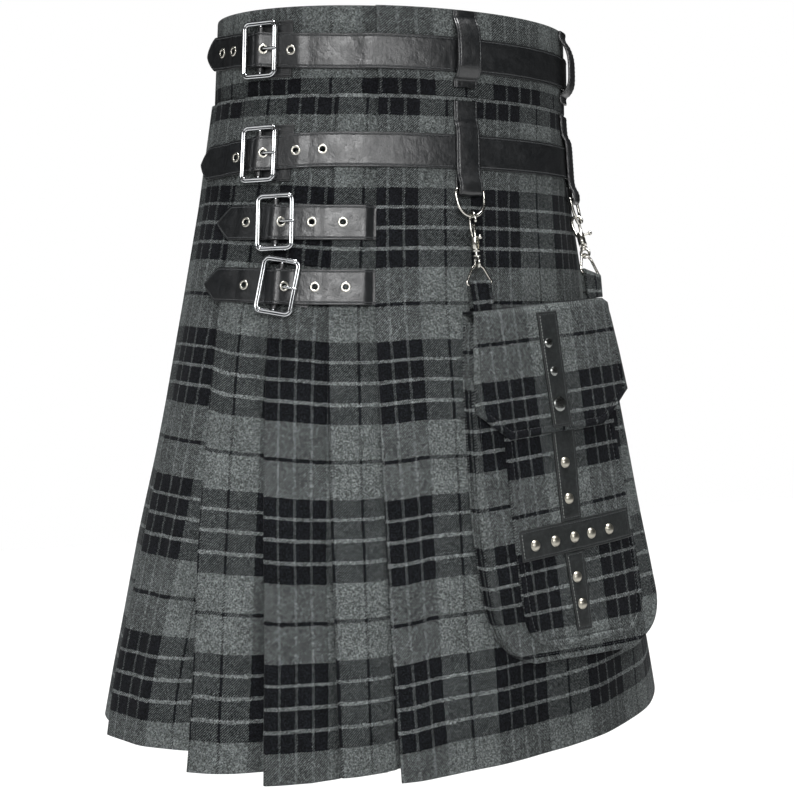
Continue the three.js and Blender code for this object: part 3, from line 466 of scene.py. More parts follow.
def tartan_material(name):
    nodes = Nodes(name)
    uv = nodes.node("ShaderNodeUVMap", uv_map="cloth").outputs[0]
    where = nodes.place()
    # The threads wander a little.
    wander = nodes.node("ShaderNodeTexNoise", {"Vector": where, "Scale": 420.0, "Detail": 1.0}).outputs[1]
    drift = nodes.vector("SUBTRACT", wander, (0.5, 0.5, 0.5))
    drift = nodes.vector("SCALE", drift, 0.0016)
    moved = nodes.vector("ADD", uv, drift)
    parts = nodes.node("ShaderNodeSeparateXYZ", {0: moved})
    across, down = parts.outputs[0], parts.outputs[1]
    warp = stripes(nodes, across, WARP_REPEAT, WARP, WARP_YARNS)
    depth = nodes.math("SUBTRACT", -WEFT_START * MM, down)
    weft = stripes(nodes, depth, WEFT_REPEAT, WEFT, WEFT_YARNS)
    # Twill: diagonals that rise to the right.
    straight = nodes.node("ShaderNodeSeparateXYZ", {0: uv})
    diagonal = nodes.math("SUBTRACT", straight.outputs[0], straight.outputs[1])
    wobble = nodes.math("MULTIPLY", nodes.math("SUBTRACT", nodes.noise(where, 900.0, 1.0), 0.5), 0.0014)
    diagonal = nodes.math("ADD", diagonal, wobble)
    wave = nodes.math("FRACT", nodes.math("DIVIDE", diagonal, TWILL * MM))
    ridge = nodes.math("ABSOLUTE", nodes.math("SUBTRACT", nodes.math("MULTIPLY", wave, 2.0), 1.0))
    weft_shows = nodes.span(ridge, 0.2, 0.58, 0.06, 0.95)
    colour = nodes.mix(weft_shows, warp, weft)
    # Yarn is uneven, and its fibres catch the light.
    fibres = nodes.node("ShaderNodeTexVoronoi", {"Vector": where, "Scale": 1050.0}).outputs[1]
    fibres = nodes.node("ShaderNodeSeparateXYZ", {0: fibres}).outputs[0]
    speck = nodes.math("MULTIPLY", nodes.span(fibres, 0.0, 1.0, 0.48, 1.5),
                       nodes.span(nodes.noise(where, 700.0, 1.0, 0.6), 0.36, 0.64, 0.62, 1.38))
    cloud = nodes.span(nodes.noise(where, 45.0, 3.0), 0.3, 0.7, 0.86, 1.13)
    shade = nodes.math("MULTIPLY", speck, cloud)
    shade = nodes.node("ShaderNodeCombineXYZ", {0: shade, 1: shade, 2: shade}).outputs[0]
    colour = nodes.vector("MULTIPLY", colour, shade)
    relief = nodes.math("ADD", ridge, nodes.math("MULTIPLY", nodes.noise(where, 1300.0, 2.0), 0.8))
    nodes.surface(Base_Color=colour, Roughness=0.92, Specular_IOR_Level=0.09,
                  Normal=nodes.bump(relief, 0.00022, 0.7))
    nodes.surface(Sheen_Weight=0.02, Sheen_Roughness=0.5, Sheen_Tint=(0.8, 0.84, 0.86, 1.0))
    return nodes.material


def leather_material(name, colour=(0.0072, 0.0080, 0.0088), grain=1.0, rough=(0.30, 0.46), shine=0.75):
    nodes = Nodes(name)
    where = nodes.place()
    cells = nodes.node("ShaderNodeTexVoronoi", {"Vector": where, "Scale": 1500.0}).outputs[0]
    fine = nodes.noise(where, 2600.0, 2.0)
    broad = nodes.noise(where, 95.0, 3.0, 0.6)
    relief = nodes.math("ADD", nodes.math("MULTIPLY", cells, 0.6), nodes.math("MULTIPLY", fine, 0.5))
    normal = nodes.bump(relief, 0.00005 * grain, 0.5)
    normal = nodes.bump(broad, 0.0016, 0.5, normal)
    creases = nodes.node("ShaderNodeMapping", {"Vector": where, "Scale": (1.0, 1.0, 0.22)}).outputs[0]
    normal = nodes.bump(nodes.noise(creases, 210.0, 3.0, 0.6), 0.0006, 0.35, normal)
    # Lighter patches mixed into the colour are painted sheen streaks.
    painted_sheen = nodes.span(nodes.noise(where, 320.0, 3.0, 0.7), 0.45, 0.75)
    sheen_colour = tuple(c * 1.9 + 0.004 for c in colour)
    nodes.surface(
        Base_Color=nodes.mix(painted_sheen, (*colour, 1.0), (*sheen_colour, 1.0)), Normal=normal,
        Roughness=nodes.span(broad, 0.3, 0.7, *rough), Specular_IOR_Level=shine)
    return nodes.material


def metal_material(name, colour, roughness, scratch=0.5):
    nodes = Nodes(name)
    where = nodes.place()
    smear = nodes.noise(where, 180.0, 3.0, 0.6)
    fine = nodes.noise(where, 2200.0, 2.0, 0.8)
    tint = nodes.mix(nodes.span(smear, 0.35, 0.7), (*colour, 1.0), (*(c * 0.82 for c in colour), 1.0))
    nodes.surface(
        Base_Color=tint, Metallic=1.0, Roughness=nodes.span(smear, 0.3, 0.75, roughness, roughness + 0.13),
        Normal=nodes.bump(fine, 0.000004, scratch))
    return nodes.material


def thread_material(name, colour):
    nodes = Nodes(name)
    where = nodes.place()
    twist = nodes.noise(where, 1800.0, 2.0)
    nodes.surface(
        Base_Color=nodes.mix(twist, (*colour, 1.0), (*(c * 1.8 for c in colour), 1.0)), Roughness=0.75,
        Normal=nodes.bump(twist, 0.0001, 0.8))
    return nodes.material


def floor_material():
    nodes = Nodes("floor")
    where = nodes.place()
    cloud = nodes.noise(where, 1.2, 2.0)
    colour = nodes.mix(cloud, (0.90, 0.90, 0.90, 1.0), (0.93, 0.93, 0.93, 1.0))
    nodes.surface(Base_Color=colour, Roughness=0.9)
    return nodes.material


tartan = tartan_material("tartan")
leather = leather_material("leather")
trim_leather = leather_material("trim_leather", (0.0105, 0.0122, 0.0124), 1.3, (0.42, 0.56), 0.4)
chrome = metal_material("chrome", (0.56, 0.575, 0.59), 0.09, 0.2)
nickel = metal_material("nickel", (0.60, 0.585, 0.54), 0.15, 0.3)
brass = metal_material("old_nickel", (0.44, 0.42, 0.36), 0.32)
snap_metal = metal_material("snap_metal", (0.25, 0.26, 0.25), 0.20)
eyelet_metal = metal_material("eyelet_metal", (0.70, 0.68, 0.61), 0.24)
thread = thread_material("thread", (0.030, 0.033, 0.035))
# Pale thread, used only down the trims' left edges: a painted highlight where those edges catch the light.
painted_highlight_thread = thread_material("painted_highlight_thread", (0.17, 0.18, 0.175))

# Camera, light and floor

VIEW_DISTANCE, VIEW_HEIGHT = 1.234, -0.1965
TOWARD = (0.3907, 0.9205)
TILT_DOWN = 3.9
camera_data = bpy.data.cameras.new("camera")
camera_data.lens = 64.52
camera_data.sensor_width = 36.0
camera = bpy.data.objects.new("camera", camera_data)
camera.location = (-TOWARD[0] * VIEW_DISTANCE, -TOWARD[1] * VIEW_DISTANCE, VIEW_HEIGHT)
level_share, down_share = math.cos(math.radians(TILT_DOWN)), math.sin(math.radians(TILT_DOWN))
look = Vector((TOWARD[0] * level_share, TOWARD[1] * level_share, -down_share))
camera.rotation_euler = look.to_track_quat("-Z", "Y").to_euler()
scene.collection.objects.link(camera)
scene.camera = camera
scene.view_settings.view_transform = "Standard"

KEY_POWER, KEY_SPREAD = 1.60, 42.0
FRONT_POWER, FRONT_SPREAD = 0.42, 50.0
SIDE_POWER = 1.1
OVERHEAD = 4.0


def add_light(name, kind, power, aim, origin=(0, 0, 0), **settings):
    """A light at origin that shines along aim."""
    data = bpy.data.lights.new(name, kind)
    data.energy = power
    for key, value in settings.items():
        setattr(data, key, value)
    light = bpy.data.objects.new(name, data)
    light.location = origin
    light.rotation_euler = aim.to_track_quat("-Z", "Y").to_euler()
    scene.collection.objects.link(light)


def lamp(name, origin, target, width, height, power, spread=180.0):
    add_light(name, "AREA", power, Vector(target) - Vector(origin), origin, shape="RECTANGLE", size=width,
              size_y=height, spread=math.radians(spread))


def sun(name, azimuth, height, power, spread):
    """A soft light from far away. Azimuth 0 is the front and plus is towards the wearer's left."""
    turn, rise = math.radians(azimuth), math.radians(height)
    away = Vector((math.sin(turn) * math.cos(rise), -math.cos(turn) * math.cos(rise), math.sin(rise)))
    add_light(name, "SUN", power, -away, angle=math.radians(spread))


lamp("key_light", (-0.76, -1.32, 0.30), (-0.17, -0.12, -0.33), 0.8, 0.8, KEY_POWER, KEY_SPREAD)
lamp("front_light", (-0.06, -1.60, 0.26), (-0.07, -0.1, -0.05), 0.4, 0.6, FRONT_POWER, FRONT_SPREAD)
lamp("side_light", (-1.5, -0.5, 0.35), (-0.1, 0.0, -0.25), 0.6, 1.3, SIDE_POWER)
sun("overhead_light", 0, 86, OVERHEAD, 20)

# The backdrop is white, and lights the kilt only a little.
AMBIENT = 0.03
world = bpy.data.worlds.new("studio")
world.use_nodes = True
sky = world.node_tree.nodes["Background"]
sky.inputs[0].default_value = (1.0, 1.0, 1.0, 1.0)
seen = world.node_tree.nodes.new("ShaderNodeLightPath")
level = world.node_tree.nodes.new("ShaderNodeMapRange")
level.inputs["To Min"].default_value = AMBIENT
level.inputs["To Max"].default_value = 1.0
world.node_tree.links.new(seen.outputs["Is Camera Ray"], level.inputs["Value"])
world.node_tree.links.new(level.outputs[0], sky.inputs[1])
scene.world = world

FLOOR = -1.0
bpy.ops.mesh.primitive_plane_add(size=7.0, location=(0, 0, FLOOR))
floor = bpy.context.object
floor.name = "floor"
floor.data.materials.append(floor_material())

# Skirt

SKIRT_ROWS = np.concatenate([np.linspace(BAND_FOOT - SEAM, -554.0, 66), [-557.5, HEM]])
SWING_FROM = -200.0        # the folds swing sideways below this height
HANG_FROM = -230.0         # and the cloth's edge rises and its soft shapes begin below this one


def hang(points, z, rise):
    points[..., 2] += rise * smooth(HANG_FROM, HEM, z)
    return points


def fold_places(z):
    row = body_row(z)
    total = arc_length(z, float(row.edge), LEFT_SEAM)
    pitch = total / (len(PLEATS) - 1 + FIRST_PLEAT)
    swinging = float(smooth(SWING_FROM, HEM, z))
    return [(k + FIRST_PLEAT) * pitch + pleat.swing * swinging for k, pleat in enumerate(PLEATS)]


def arc(s, n, radius, start, end, count):
    """Points on a half turn in the plane of distance along and distance out."""
    turn = np.radians(np.linspace(start, end, count))
    return np.stack([s + radius * np.cos(turn), n + radius * np.sin(turn)], axis=-1)


PLEAT_CLOTH = 1.5 * WARP_REPEAT     # cloth taken up by one pleat
FIRST_FOLD_CLOTH = 4 * BLOCK + 3 * LINE
BELLY = 1.6                         # how far the middle of an open pleat bulges at the hem
FOLD_POINTS = 9                     # points round a fold
BLENDS = 6                          # times that a pleat's line is smoothed


def pleat_line(z, first, last):
    """The level line of some pleats: points, and the place across and down the cloth at each."""
    row = body_row(z)
    folds = fold_places(z)
    rises = [pleat.rise for pleat in PLEATS]
    line, marks = [], []
    for k in range(first, last + 1):
        outer = row.outer * mix(1.0, PLEATS[k].lift, row.open)
        fold = folds[k]
        before = 0.0 if k == 0 else folds[k - 1]
        start = -UNDER_START if k == 0 else before - row.under
        here = rises[k]

        def ramp(s):
            return mix(row.inner, outer, (s - start) / (fold - start))

        if k == 0:
            hidden = [(start, row.inner), (-row.under, mix(row.inner, ramp(-row.under), row.open * 0.3))]
            hidden_rise = here
        else:
            hidden = [(start, row.inner)]
            hidden_rise = mix(rises[k - 1], here, 0.5)
            if k > first:
                bend = arc(start, row.inner + row.fold, row.fold, 90, 270, FOLD_POINTS)
                line += [(s, n, hidden_rise) for s, n in bend[1:-1]]
        knots = hidden + [
            (before + 2, mix(row.inner, ramp(before + 2), row.open)),
            (fold - row.under - 2, mix(outer, ramp(fold - row.under - 2), row.open)),
            (fold, outer)]
        levels = [hidden_rise] * len(hidden) + [here] * 3
        counts = [4] * (len(hidden) - 1) + [6, 12, 7]
        panel = []
        for (a, b), (ra, rb), count in zip(zip(knots, knots[1:]), zip(levels, levels[1:]), counts):
            for i in range(count):
                t = i / count
                panel.append((mix(a[0], b[0], t), mix(a[1], b[1], t), mix(ra, rb, t)))
        panel.append((*knots[-1], here))
        panel = np.array(panel)
        for _ in range(BLENDS):
            panel[1:-1, 1] = 0.25 * panel[:-2, 1] + 0.5 * panel[1:-1, 1] + 0.25 * panel[2:, 1]
        belly = np.sin(math.pi * clamp01((panel[:, 0] - before) / (fold - before)))
        panel[:, 1] += row.open * BELLY * belly
        first_column = len(line)
        line += panel.tolist()
        marks.append((k, first_column, len(line) - 1))
        line += [(s, n, here) for s, n in arc(fold, outer - row.fold, row.fold, 90, -90, FOLD_POINTS)[1:]]
        end_rise = mix(here, rises[min(k + 1, len(rises) - 1)], 0.5)
        a = np.array([fold, outer - 2 * row.fold, here])
        b = np.array([fold - row.under, row.inner + 2 * row.fold, end_rise])
        line += [mix(a, b, i / 5) for i in range(1, 6)]
    along, out, rise = np.array(line, dtype=float).T
    angle = travel(z, row.edge, along)
    hanging = float(smooth(HANG_FROM, -300.0, z))
    out = out + hanging * dents(PLEAT_DENTS, z, angle)
    points = hang(oval_point(z, angle, out), z, rise)
    length = run_length(points * np.array([1.0, 1.0, 0.0]))
    across = np.full(len(along), np.nan)
    for k, start, fold_at in marks:
        shown = slice(start, fold_at + FOLD_POINTS)
        across[shown] = FIRST_FOLD_CLOTH - PLEAT_CLOTH * k + (length[fold_at] - length[shown])
    known = ~np.isnan(across)
    across = np.interp(length, length[known], across[known])
    return points, across, cloth_down(z, angle)


def dents(table, z, angle):
    """Soft troughs and ridges: (height, angle, how tall, how wide in degrees, how deep, lean)."""
    out = np.zeros(np.broadcast(z, angle).shape)
    for middle, at, tall, wide, deep, lean in table:
        y = (z - middle) / tall
        x = (angle - at - lean * (z - middle)) / wide
        out += deep * np.exp(-x * x - y * y)
    return out


# The same soft shapes all round the pleats, each set one by one.
PLEAT_DENTS = [
    (-330, 119, 70, 3.4, 1.6, 0.006), (-420, 124, 85, 2.8, -2.4, -0.010), (-500, 116, 60, 3.0, 2.3, 0.012),
    (-380, 131, 60, 3.6, 1.9, 0.012), (-480, 134, 75, 2.6, -2.6, 0.004), (-330, 140, 50, 3.0, -1.5, -0.012),
    (-440, 143, 90, 2.6, 2.4, 0.008), (-520, 149, 55, 3.4, -2.2, 0.016), (-360, 152, 75, 3.2, 1.8, -0.008),
    (-450, 158, 60, 3.0, -2.3, 0.010), (-520, 164, 70, 3.8, 2.7, 0.014), (-400, 168, 85, 3.0, -2.0, 0.004),
    (-500, 175, 60, 3.6, 2.5, -0.012), (-350, 180, 60, 3.2, 1.7, 0.010), (-470, 186, 80, 3.0, -2.6, 0.0),
    (-390, 198, 70, 4.2, 2.0, 0.010), (-500, 206, 65, 3.6, -2.4, -0.008), (-340, 217, 55, 4.0, -1.6, 0.008),
    (-450, 226, 85, 3.4, 2.5, 0.006), (-520, 238, 50, 4.4, -2.3, 0.012), (-380, 249, 80, 3.8, -1.9, -0.006),
    (-480, 259, 70, 3.2, 2.6, 0.010), (-410, 272, 65, 4.0, 1.8, 0.004), (-510, 283, 60, 3.6, -2.5, -0.012),
    (-350, 292, 70, 3.8, 1.7, 0.010), (-460, 303, 85, 3.4, -2.2, 0.006), (-520, 315, 50, 4.2, 2.4, 0.010),
    (-400, 324, 75, 3.6, 2.0, -0.008), (-490, 335, 65, 3.4, -2.3, 0.004),
]


# How far the pattern lies above its level place, by angle and height.
LIFT_ANGLES = (90, 100, 106, 111, 119, 124, 128, 133, 138, 147, 152, 157, 168, 178, 260)
LIFT = np.array([
    (-37, *[-0.7] * len(LIFT_ANGLES)),
    (-142, 2.2, 1.8, 1.5, 1.1, 0.9, 1.5, 2.2, 3.2, 4.2, 5.5, 6.2, 6.7, 8.3, 8.9, 2.2),
    (-263, 5.4, 5.8, 4.2, 2.5, 2.5, 2.6, 4.2, 5.4, 6.0, 8.3, 10.0, 14.0, 16.0, 17.0, 5.4),
    (-383, 5.4, 5.0, 2.6, 1.7, 1.5, 2.6, 3.6, 5.0, 5.8, 7.8, 8.0, 8.5, 9.8, 10.6, 5.4),
    (-504, 2.0, 1.5, -1.0, -1.0, -0.3, 0.0, 0.0, -0.4, 0.0, 1.2, -1.0, -2.4, -3.0, -3.0, 2.0),
    (-560, 0.0, -1.5, -3.0, -3.0, -2.0, -1.5, -1.5, -2.0, -2.0, -1.0, -3.0, -5.0, -5.0, -5.0, 0.0),
])


def cloth_down(z, angle):
    """Height along the cloth's length at a height and an angle."""
    at = [np.interp(-z, -LIFT[:, 0], column) for column in LIFT[:, 1:].T]
    return z - np.interp(angle, LIFT_ANGLES, at)


def wall_piece(name, front, back, cloth):
    """A piece of tartan, as one closed wall between two grids of points."""
    piece = Piece(name + "_cloth", tartan)
    piece.add(*wall_shell(front, back, cloth))
    return piece.make("kilt", [name])


def skirt_piece(name, lines):
    """A piece of the skirt from level lines of (points, across, down)."""
    grid, across, down = (np.stack(parts, axis=1) for parts in zip(*lines))
    out = grid_normals(grid) * CLOTH / 2
    return wall_piece(name, grid + out, grid - out, np.stack([across, down], axis=-1))


APRON_DENTS = [
    (-150, 96, 60, 5, -0.9, 0.012), (-330, 88, 90, 6, 1.6, -0.010), (-430, 99, 80, 4, -2.0, 0.008),
    (-505, 88, 60, 4.5, 2.3, 0.004), (-370, 103, 70, 3, 1.5, 0.006), (-520, 103, 55, 3.2, 1.9, -0.008),
    (-120, 58, 40, 9, -0.8, 0.0), (-150, 47, 55, 6, 0.8, 0.02), (-530, 76, 40, 4, -1.9, 0.006),
    (-530, 60, 40, 5, 2.1, 0.0), (-500, 40, 70, 6, 2.2, 0.01), (-420, 22, 90, 6, -1.9, 0.0),
    (-520, 12, 50, 6, 1.8, 0.0), (-300, 18, 60, 6, 1.2, -0.01),
]


def apron_out(z, angle):
    row = body_row(z)
    side = mix(row.apron, np.minimum(row.apron, 2.0), row.open)
    middle = mix(row.apron, side, smooth(0.0, 14.0, row.edge - 3 - angle))
    return mix(row.inner, middle, smooth(APRON_SEAM, 3.0, angle))


def apron_rise(z, angle):
    return APRON_RISE * clamp01((body_row(z).edge - angle) / 90)


APRON_FIRST = 10.4      # cloth turned in at the apron's edge, up to where its dark band begins
APRON_LEAN = 6.0        # how much more of it is turned in at the waist


APRON_SHARES = np.concatenate([[0.0, 0.0012, 0.004], np.linspace(0.01, 1.0, 118)])
UNDER_FIRST = 20.0      # the place across the cloth where the under-apron begins


def apron_line(z):
    row = body_row(z)
    tuck = travel(z, APRON_SEAM, -(row.under - 1.5))
    angle = mix(row.edge, tuck, APRON_SHARES)
    out = apron_out(z, angle) + dents(APRON_DENTS, z, angle)
    points = hang(oval_point(z, angle, out), z, apron_rise(z, angle))
    lean = APRON_LEAN * (1 - float(smooth(-90.0, -380.0, z)))
    return points, APRON_FIRST + lean + run_length(oval_point(z, angle, out)), cloth_down(z, angle)


def under_line(z):
    row = body_row(z)
    start = travel(z, row.edge, -UNDER_START - SEAM)
    angle = mix(start, UNDER_END, np.linspace(0, 1, 70))
    level = oval_point(z, angle, row.inner)
    points = hang(level.copy(), z, apron_rise(z, angle) + UNDER_RISE)
    return points, UNDER_FIRST + run_length(level), np.full(len(angle), z)


# Bands, straps and loops are ribbons: a rounded section that follows a line of stations.

def ribbon_section(thick, groove=True, rounding=0.55, spread=(-1.0, -0.5, 0.0, 0.5, 1.0)):
    """Section as (side, inset, share, level): y is side * (half - inset), or a share of half - 3."""
    half = thick / 2
    front = [(1, 0.0, None, -half + rounding), (1, 0.0, None, half - rounding), (1, 0.16, None, half - 0.16),
             (1, rounding, None, half)]
    if groove:
        front += [(1, 1.3, None, half), (1, 1.7, None, half - 0.28), (1, 2.1, None, half)]
    middle = [(1, 3.0, f, half) for f in spread[::-1]]
    other = [(-1, inset, f, level) for _, inset, f, level in front[::-1]]
    back = [(-1, rounding, None, -half)] + [(1, 3.0, f, -half) for f in spread] + [(1, rounding, None, -half)]
    return front + middle + other + back


def ribbon(point_at, half_widths, section):
    """point_at(station index array, y, level) gives points. Returns points, faces and cloth."""
    count = len(half_widths)
    half = np.asarray(half_widths, dtype=float)[:, None]
    y = np.zeros((count, len(section)))
    for k, (side, inset, share, _) in enumerate(section):
        if share is None:
            y[:, k] = (side * np.maximum(half - inset, half * 0.2))[:, 0]
        else:
            y[:, k] = (share * np.maximum(half - inset, half * 0.12))[:, 0]
    level = np.broadcast_to(np.array([entry[3] for entry in section], dtype=float), y.shape)
    index = np.broadcast_to(np.arange(count)[:, None], y.shape)
    points = point_at(index, y, level)
    flat, faces = ring_shell(points)
    middle = points[:, len(section) // 2]
    cloth = np.stack([np.broadcast_to(run_length(middle)[:, None], y.shape), y], axis=-1)
    return flat, faces, cloth


BAND_OUT = 1.7
OVER_OUT = 4.6
BAND_OVER = OVER_OUT + 0.1     # how far out the waistband lies where it crosses the apron
BAND_SHIFT = 85.7          # the waistband is cut from another height of the cloth


def make_band(name, start, end_of, out_of, across_of):
    """A length of the waistband. Its edges at the top and the seam are folded."""
    half = (TOP - BAND_FOOT) / 2
    middle = (TOP + BAND_FOOT) / 2
    stations = np.linspace(0, 1, 170)
    spread = tuple(np.linspace(-1.0, 1.0, 17))
    section = ribbon_section(BAND, groove=False, rounding=1.15, spread=spread)

    def point_at(index, y, level):
        z = middle + y
        angle = mix(start, end_of(z), stations[index])
        return oval_point(z, angle, out_of(angle) + level)

    points, faces, cloth = ribbon(point_at, np.full(len(stations), half), section)
    run = arc_length(0.0, start, float(end_of(0.0)))
    cloth[..., 0] = across_of(stations * run)[:, None]
    cloth[..., 1] += middle - BAND_SHIFT
    piece = Piece(name + "_cloth", tartan)
    piece.add(points, faces, cloth)
    return piece.make("kilt", [name])


def band_across(stretch):
    """Place across the cloth along the waistband, so that its dark band ends at the same place."""
    run = arc_length(0.0, UNDER_END, 131.1)
    return FIRST_FOLD_CLOTH + run - stretch


# Straps

# A strap starts, ends and bears its buckle, prong and eyelets at these angles. z and tip_z are its heights,
# and base is how far out it lies. patch is the height of the leather behind the buckle. tip_lift and crest say
# how far its tip and its arch over the buckle's bar stand out.
STRAP_KEYS = ("name", "start", "to", "z", "tip_z", "buckle", "tilt", "prong", "eyelets", "base", "patch",
              "tip_lift", "crest")
STRAPS = [SimpleNamespace(**dict(zip(STRAP_KEYS, values))) for values in (
    ("strap_1", -12, 186, -4.6, 2, 150.6, 0, 148.6, (139, 164.5, 174), 2.9, 44, 6, 6.2),
    ("strap_2", -12, 181, -80.5, -87, 147.6, 1, 145.6, (127, 135.2, 157.5), 5.15, 44, 3, 6.2),
    ("strap_3", 108.5, 163, -137, -136, 139.6, 2, 137.6, (120, 128.7, 150), 5.4, 26, 1, 6.4),
    ("strap_4", 108.5, 165, -186.8, -184, 137, -9, 135, (118.6, 126.7, 148), 5.65, 26, 1, 7.6),
)]
STRAP_WIDTH = 27.0
EDGE_STITCH = 1.75         # from an edge to its row of stitches
TIP_LENGTH = 13.0
EYELET = SimpleNamespace(outer=3.9, hole=2.2, lift=0.2, tall=0.55)
BUCKLE = SimpleNamespace(width=32.0, height=45.0, bar=4.0, corner=6.0, pin=1.4, roll=2.7, drop=1.5)
PATCH_THICK = 1.2
ARCH = 11.0                # how far to each side of a buckle's bar its strap rises over it
HELD, LAID = 29.0, 37.0    # from the bar, the strap leaves the patch and lies on the cloth


def buckle_out(strap):
    return strap.base + SEAM + PATCH_THICK + SEAM + LEATHER + SEAM + BUCKLE.drop


def strap_z(strap, angle):
    return mix(strap.z, strap.tip_z, smooth(120.0, strap.to, angle))


def strap_out(strap, angle):
    angle = np.asarray(angle, dtype=float)
    row = body_row(strap.z)
    per_degree = arc_length(strap.z, strap.buckle - 1, strap.buckle + 1) / 2
    away = np.abs(angle - strap.buckle) * per_degree
    rest = strap.base + SEAM + LEATHER / 2
    held = buckle_out(strap) - BUCKLE.drop - SEAM - LEATHER / 2
    arch = strap.crest / 2 * (1 + np.cos(math.pi * np.minimum(away, ARCH) / ARCH))
    arch = np.where(away < ARCH, arch, 0.0)
    near = mix(held, rest, smooth(HELD, LAID, away))
    out = near + arch + strap.tip_lift * smooth(strap.to - 14, strap.to, angle)
    if strap.name == "strap_1":
        over = BAND_OVER + BAND / 2 + SEAM + LEATHER / 2
        left = mix(BAND_OUT + BAND / 2 + SEAM + LEATHER / 2, over, smooth(APRON_SEAM, 2.0, angle))
        return mix(left, out, smooth(row.edge + 1.5, row.edge + 9, angle))
    if strap.name == "strap_2":
        left = mix(3.6, rest, smooth(APRON_SEAM, 2.0, angle))
        return np.where(angle < row.edge, left, out)
    return mix(2.7, out, smooth(row.edge + 0.4, row.edge + 3.2, angle))


def eyelet_frame(strap, angle):
    z = float(strap_z(strap, angle))
    left, middle, right = (oval_point(z, at, strap_out(strap, at)) for at in (angle + 1, angle, angle - 1))
    return face_frame(left, right, oval_point(z + 4, angle, 0), oval_point(z - 4, angle, 0), middle)


def cut_holes(piece, frames, radius, depth):
    """Cuts round holes along the frames' z out of a piece."""
    cutter = Piece("cutter", leather)
    for matrix in frames:
        cutter.add(*lathe_shell([(0, -depth), (radius, -depth), (radius, depth), (0, depth)], matrix, 20))
    mesh = cutter.mesh()
    tool = bpy.data.objects.new("cutter", mesh)
    scene.collection.objects.link(tool)
    cut = piece.modifiers.new("cut", "BOOLEAN")
    cut.operation = "DIFFERENCE"
    cut.solver = "EXACT"
    cut.object = tool
    bpy.context.view_layer.objects.active = piece
    bpy.ops.object.modifier_apply(modifier="cut")
    bpy.data.objects.remove(tool)
    bpy.data.meshes.remove(mesh)


def make_strap(strap):
    per_degree = arc_length(strap.z, strap.to - 2, strap.to) / 2
    shoulder = strap.to - TIP_LENGTH / per_degree
    near, far = strap.buckle - 18, strap.buckle + 18
    stations = np.concatenate([
        np.arange(strap.start, near, 1.5), np.arange(near, far, 0.4),
        np.arange(far, shoulder, 1.5) if far < shoulder else [], np.linspace(shoulder, strap.to, 14)])
    edge = float(body_row(strap.z).edge)
    stations = np.unique(np.round(np.concatenate([stations, np.arange(edge - 1, edge + 5, 0.35)]), 3))
    stations = stations[(stations >= strap.start) & (stations <= strap.to)]
    toward = clamp01((stations - shoulder) / (strap.to - shoulder))
    half_widths = mix(STRAP_WIDTH / 2, 1.0, toward ** 1.15)

    def point_at(index, y, level):
        angle = stations[index]
        return oval_point(strap_z(strap, angle) + y, angle, strap_out(strap, angle) + level)

    piece = Piece(strap.name + "_leather", leather)
    piece.add(*ribbon(point_at, half_widths, ribbon_section(LEATHER)))
    made = piece.make("kilt", [strap.name])
    sewn = Piece(strap.name + "_stitches", thread)
    long = np.flatnonzero(half_widths > EDGE_STITCH + 3)
    for side in (1, -1):
        y = side * (half_widths[long] - EDGE_STITCH)
        line, above = (point_at(long, y, LEATHER / 2 + level) for level in (-0.1, 1.0))
        add_stitches(sewn, line, above, thread)
    sewn.make("kilt")
    frames = [eyelet_frame(strap, angle) for angle in (strap.prong, *strap.eyelets)]
    cut_holes(made, frames, EYELET.hole, 8.0)
    rings = Piece(strap.name + "_eyelets", eyelet_metal)
    middle, half = (EYELET.outer + EYELET.hole) / 2, (EYELET.outer - EYELET.hole) / 2
    profile = []
    for t in map(math.radians, range(0, 360, 30)):
        profile.append((middle + half * math.cos(t), LEATHER / 2 + EYELET.lift + EYELET.tall * math.sin(t)))
    turn = np.arange(24) / 24 * 2 * math.pi
    sections = [[(r * math.cos(a), r * math.sin(a), h) for r, h in profile] for a in turn]
    points, faces = ring_shell(sections, closed=True)
    for matrix in frames:
        rings.add(place(points, matrix), faces)
    rings.make("kilt")


# Buckles

def frame_on(z, angle, out):
    left, right = oval_point(z, angle + 0.5, out), oval_point(z, angle - 0.5, out)
    return face_frame(left, right, oval_point(z + 4, angle, out), oval_point(z - 4, angle, out),
                      oval_point(z, angle, out))


def on_strap(strap, x, y, out):
    turn = math.radians(strap.tilt)
    c, s = math.cos(turn), math.sin(turn)
    z = strap_z(strap, strap.buckle) + x * s + y * c
    return oval_point(z, travel(z, strap.buckle, -(x * c - y * s) - 1e-6), out)


def rounded_rectangle(width, height, corner, per_corner=7):
    points = []
    for cx, cy, start in ((1, 1, 0), (-1, 1, 90), (-1, -1, 180), (1, -1, 270)):
        for k in range(per_corner):
            turn = math.radians(start + 90 * k / (per_corner - 1))
            points.append(((width / 2 - corner) * cx + corner * math.cos(turn),
                           (height / 2 - corner) * cy + corner * math.sin(turn)))
    return np.array(points)


BUCKLE_PROFILE = [  # across the bar from its outer side, and height
    (-2.0, -1.0), (-2.0, 0.4), (-1.8, 1.0), (-1.35, 1.42), (-0.85, 1.5), (-0.45, 1.3), (0.0, 0.95),
    (0.45, 1.3), (0.85, 1.5), (1.35, 1.42), (1.8, 1.0), (2.0, 0.4), (2.0, -1.0), (1.5, -1.45), (-1.5, -1.45)]
PRONG_LINE = [(4.6, 0, -1), (4.8, 0, 1.6), (5.7, 0, 2.8), (7.5, 0, 3.1), (12, 0, 3.05), (17, 0, 2.9)]


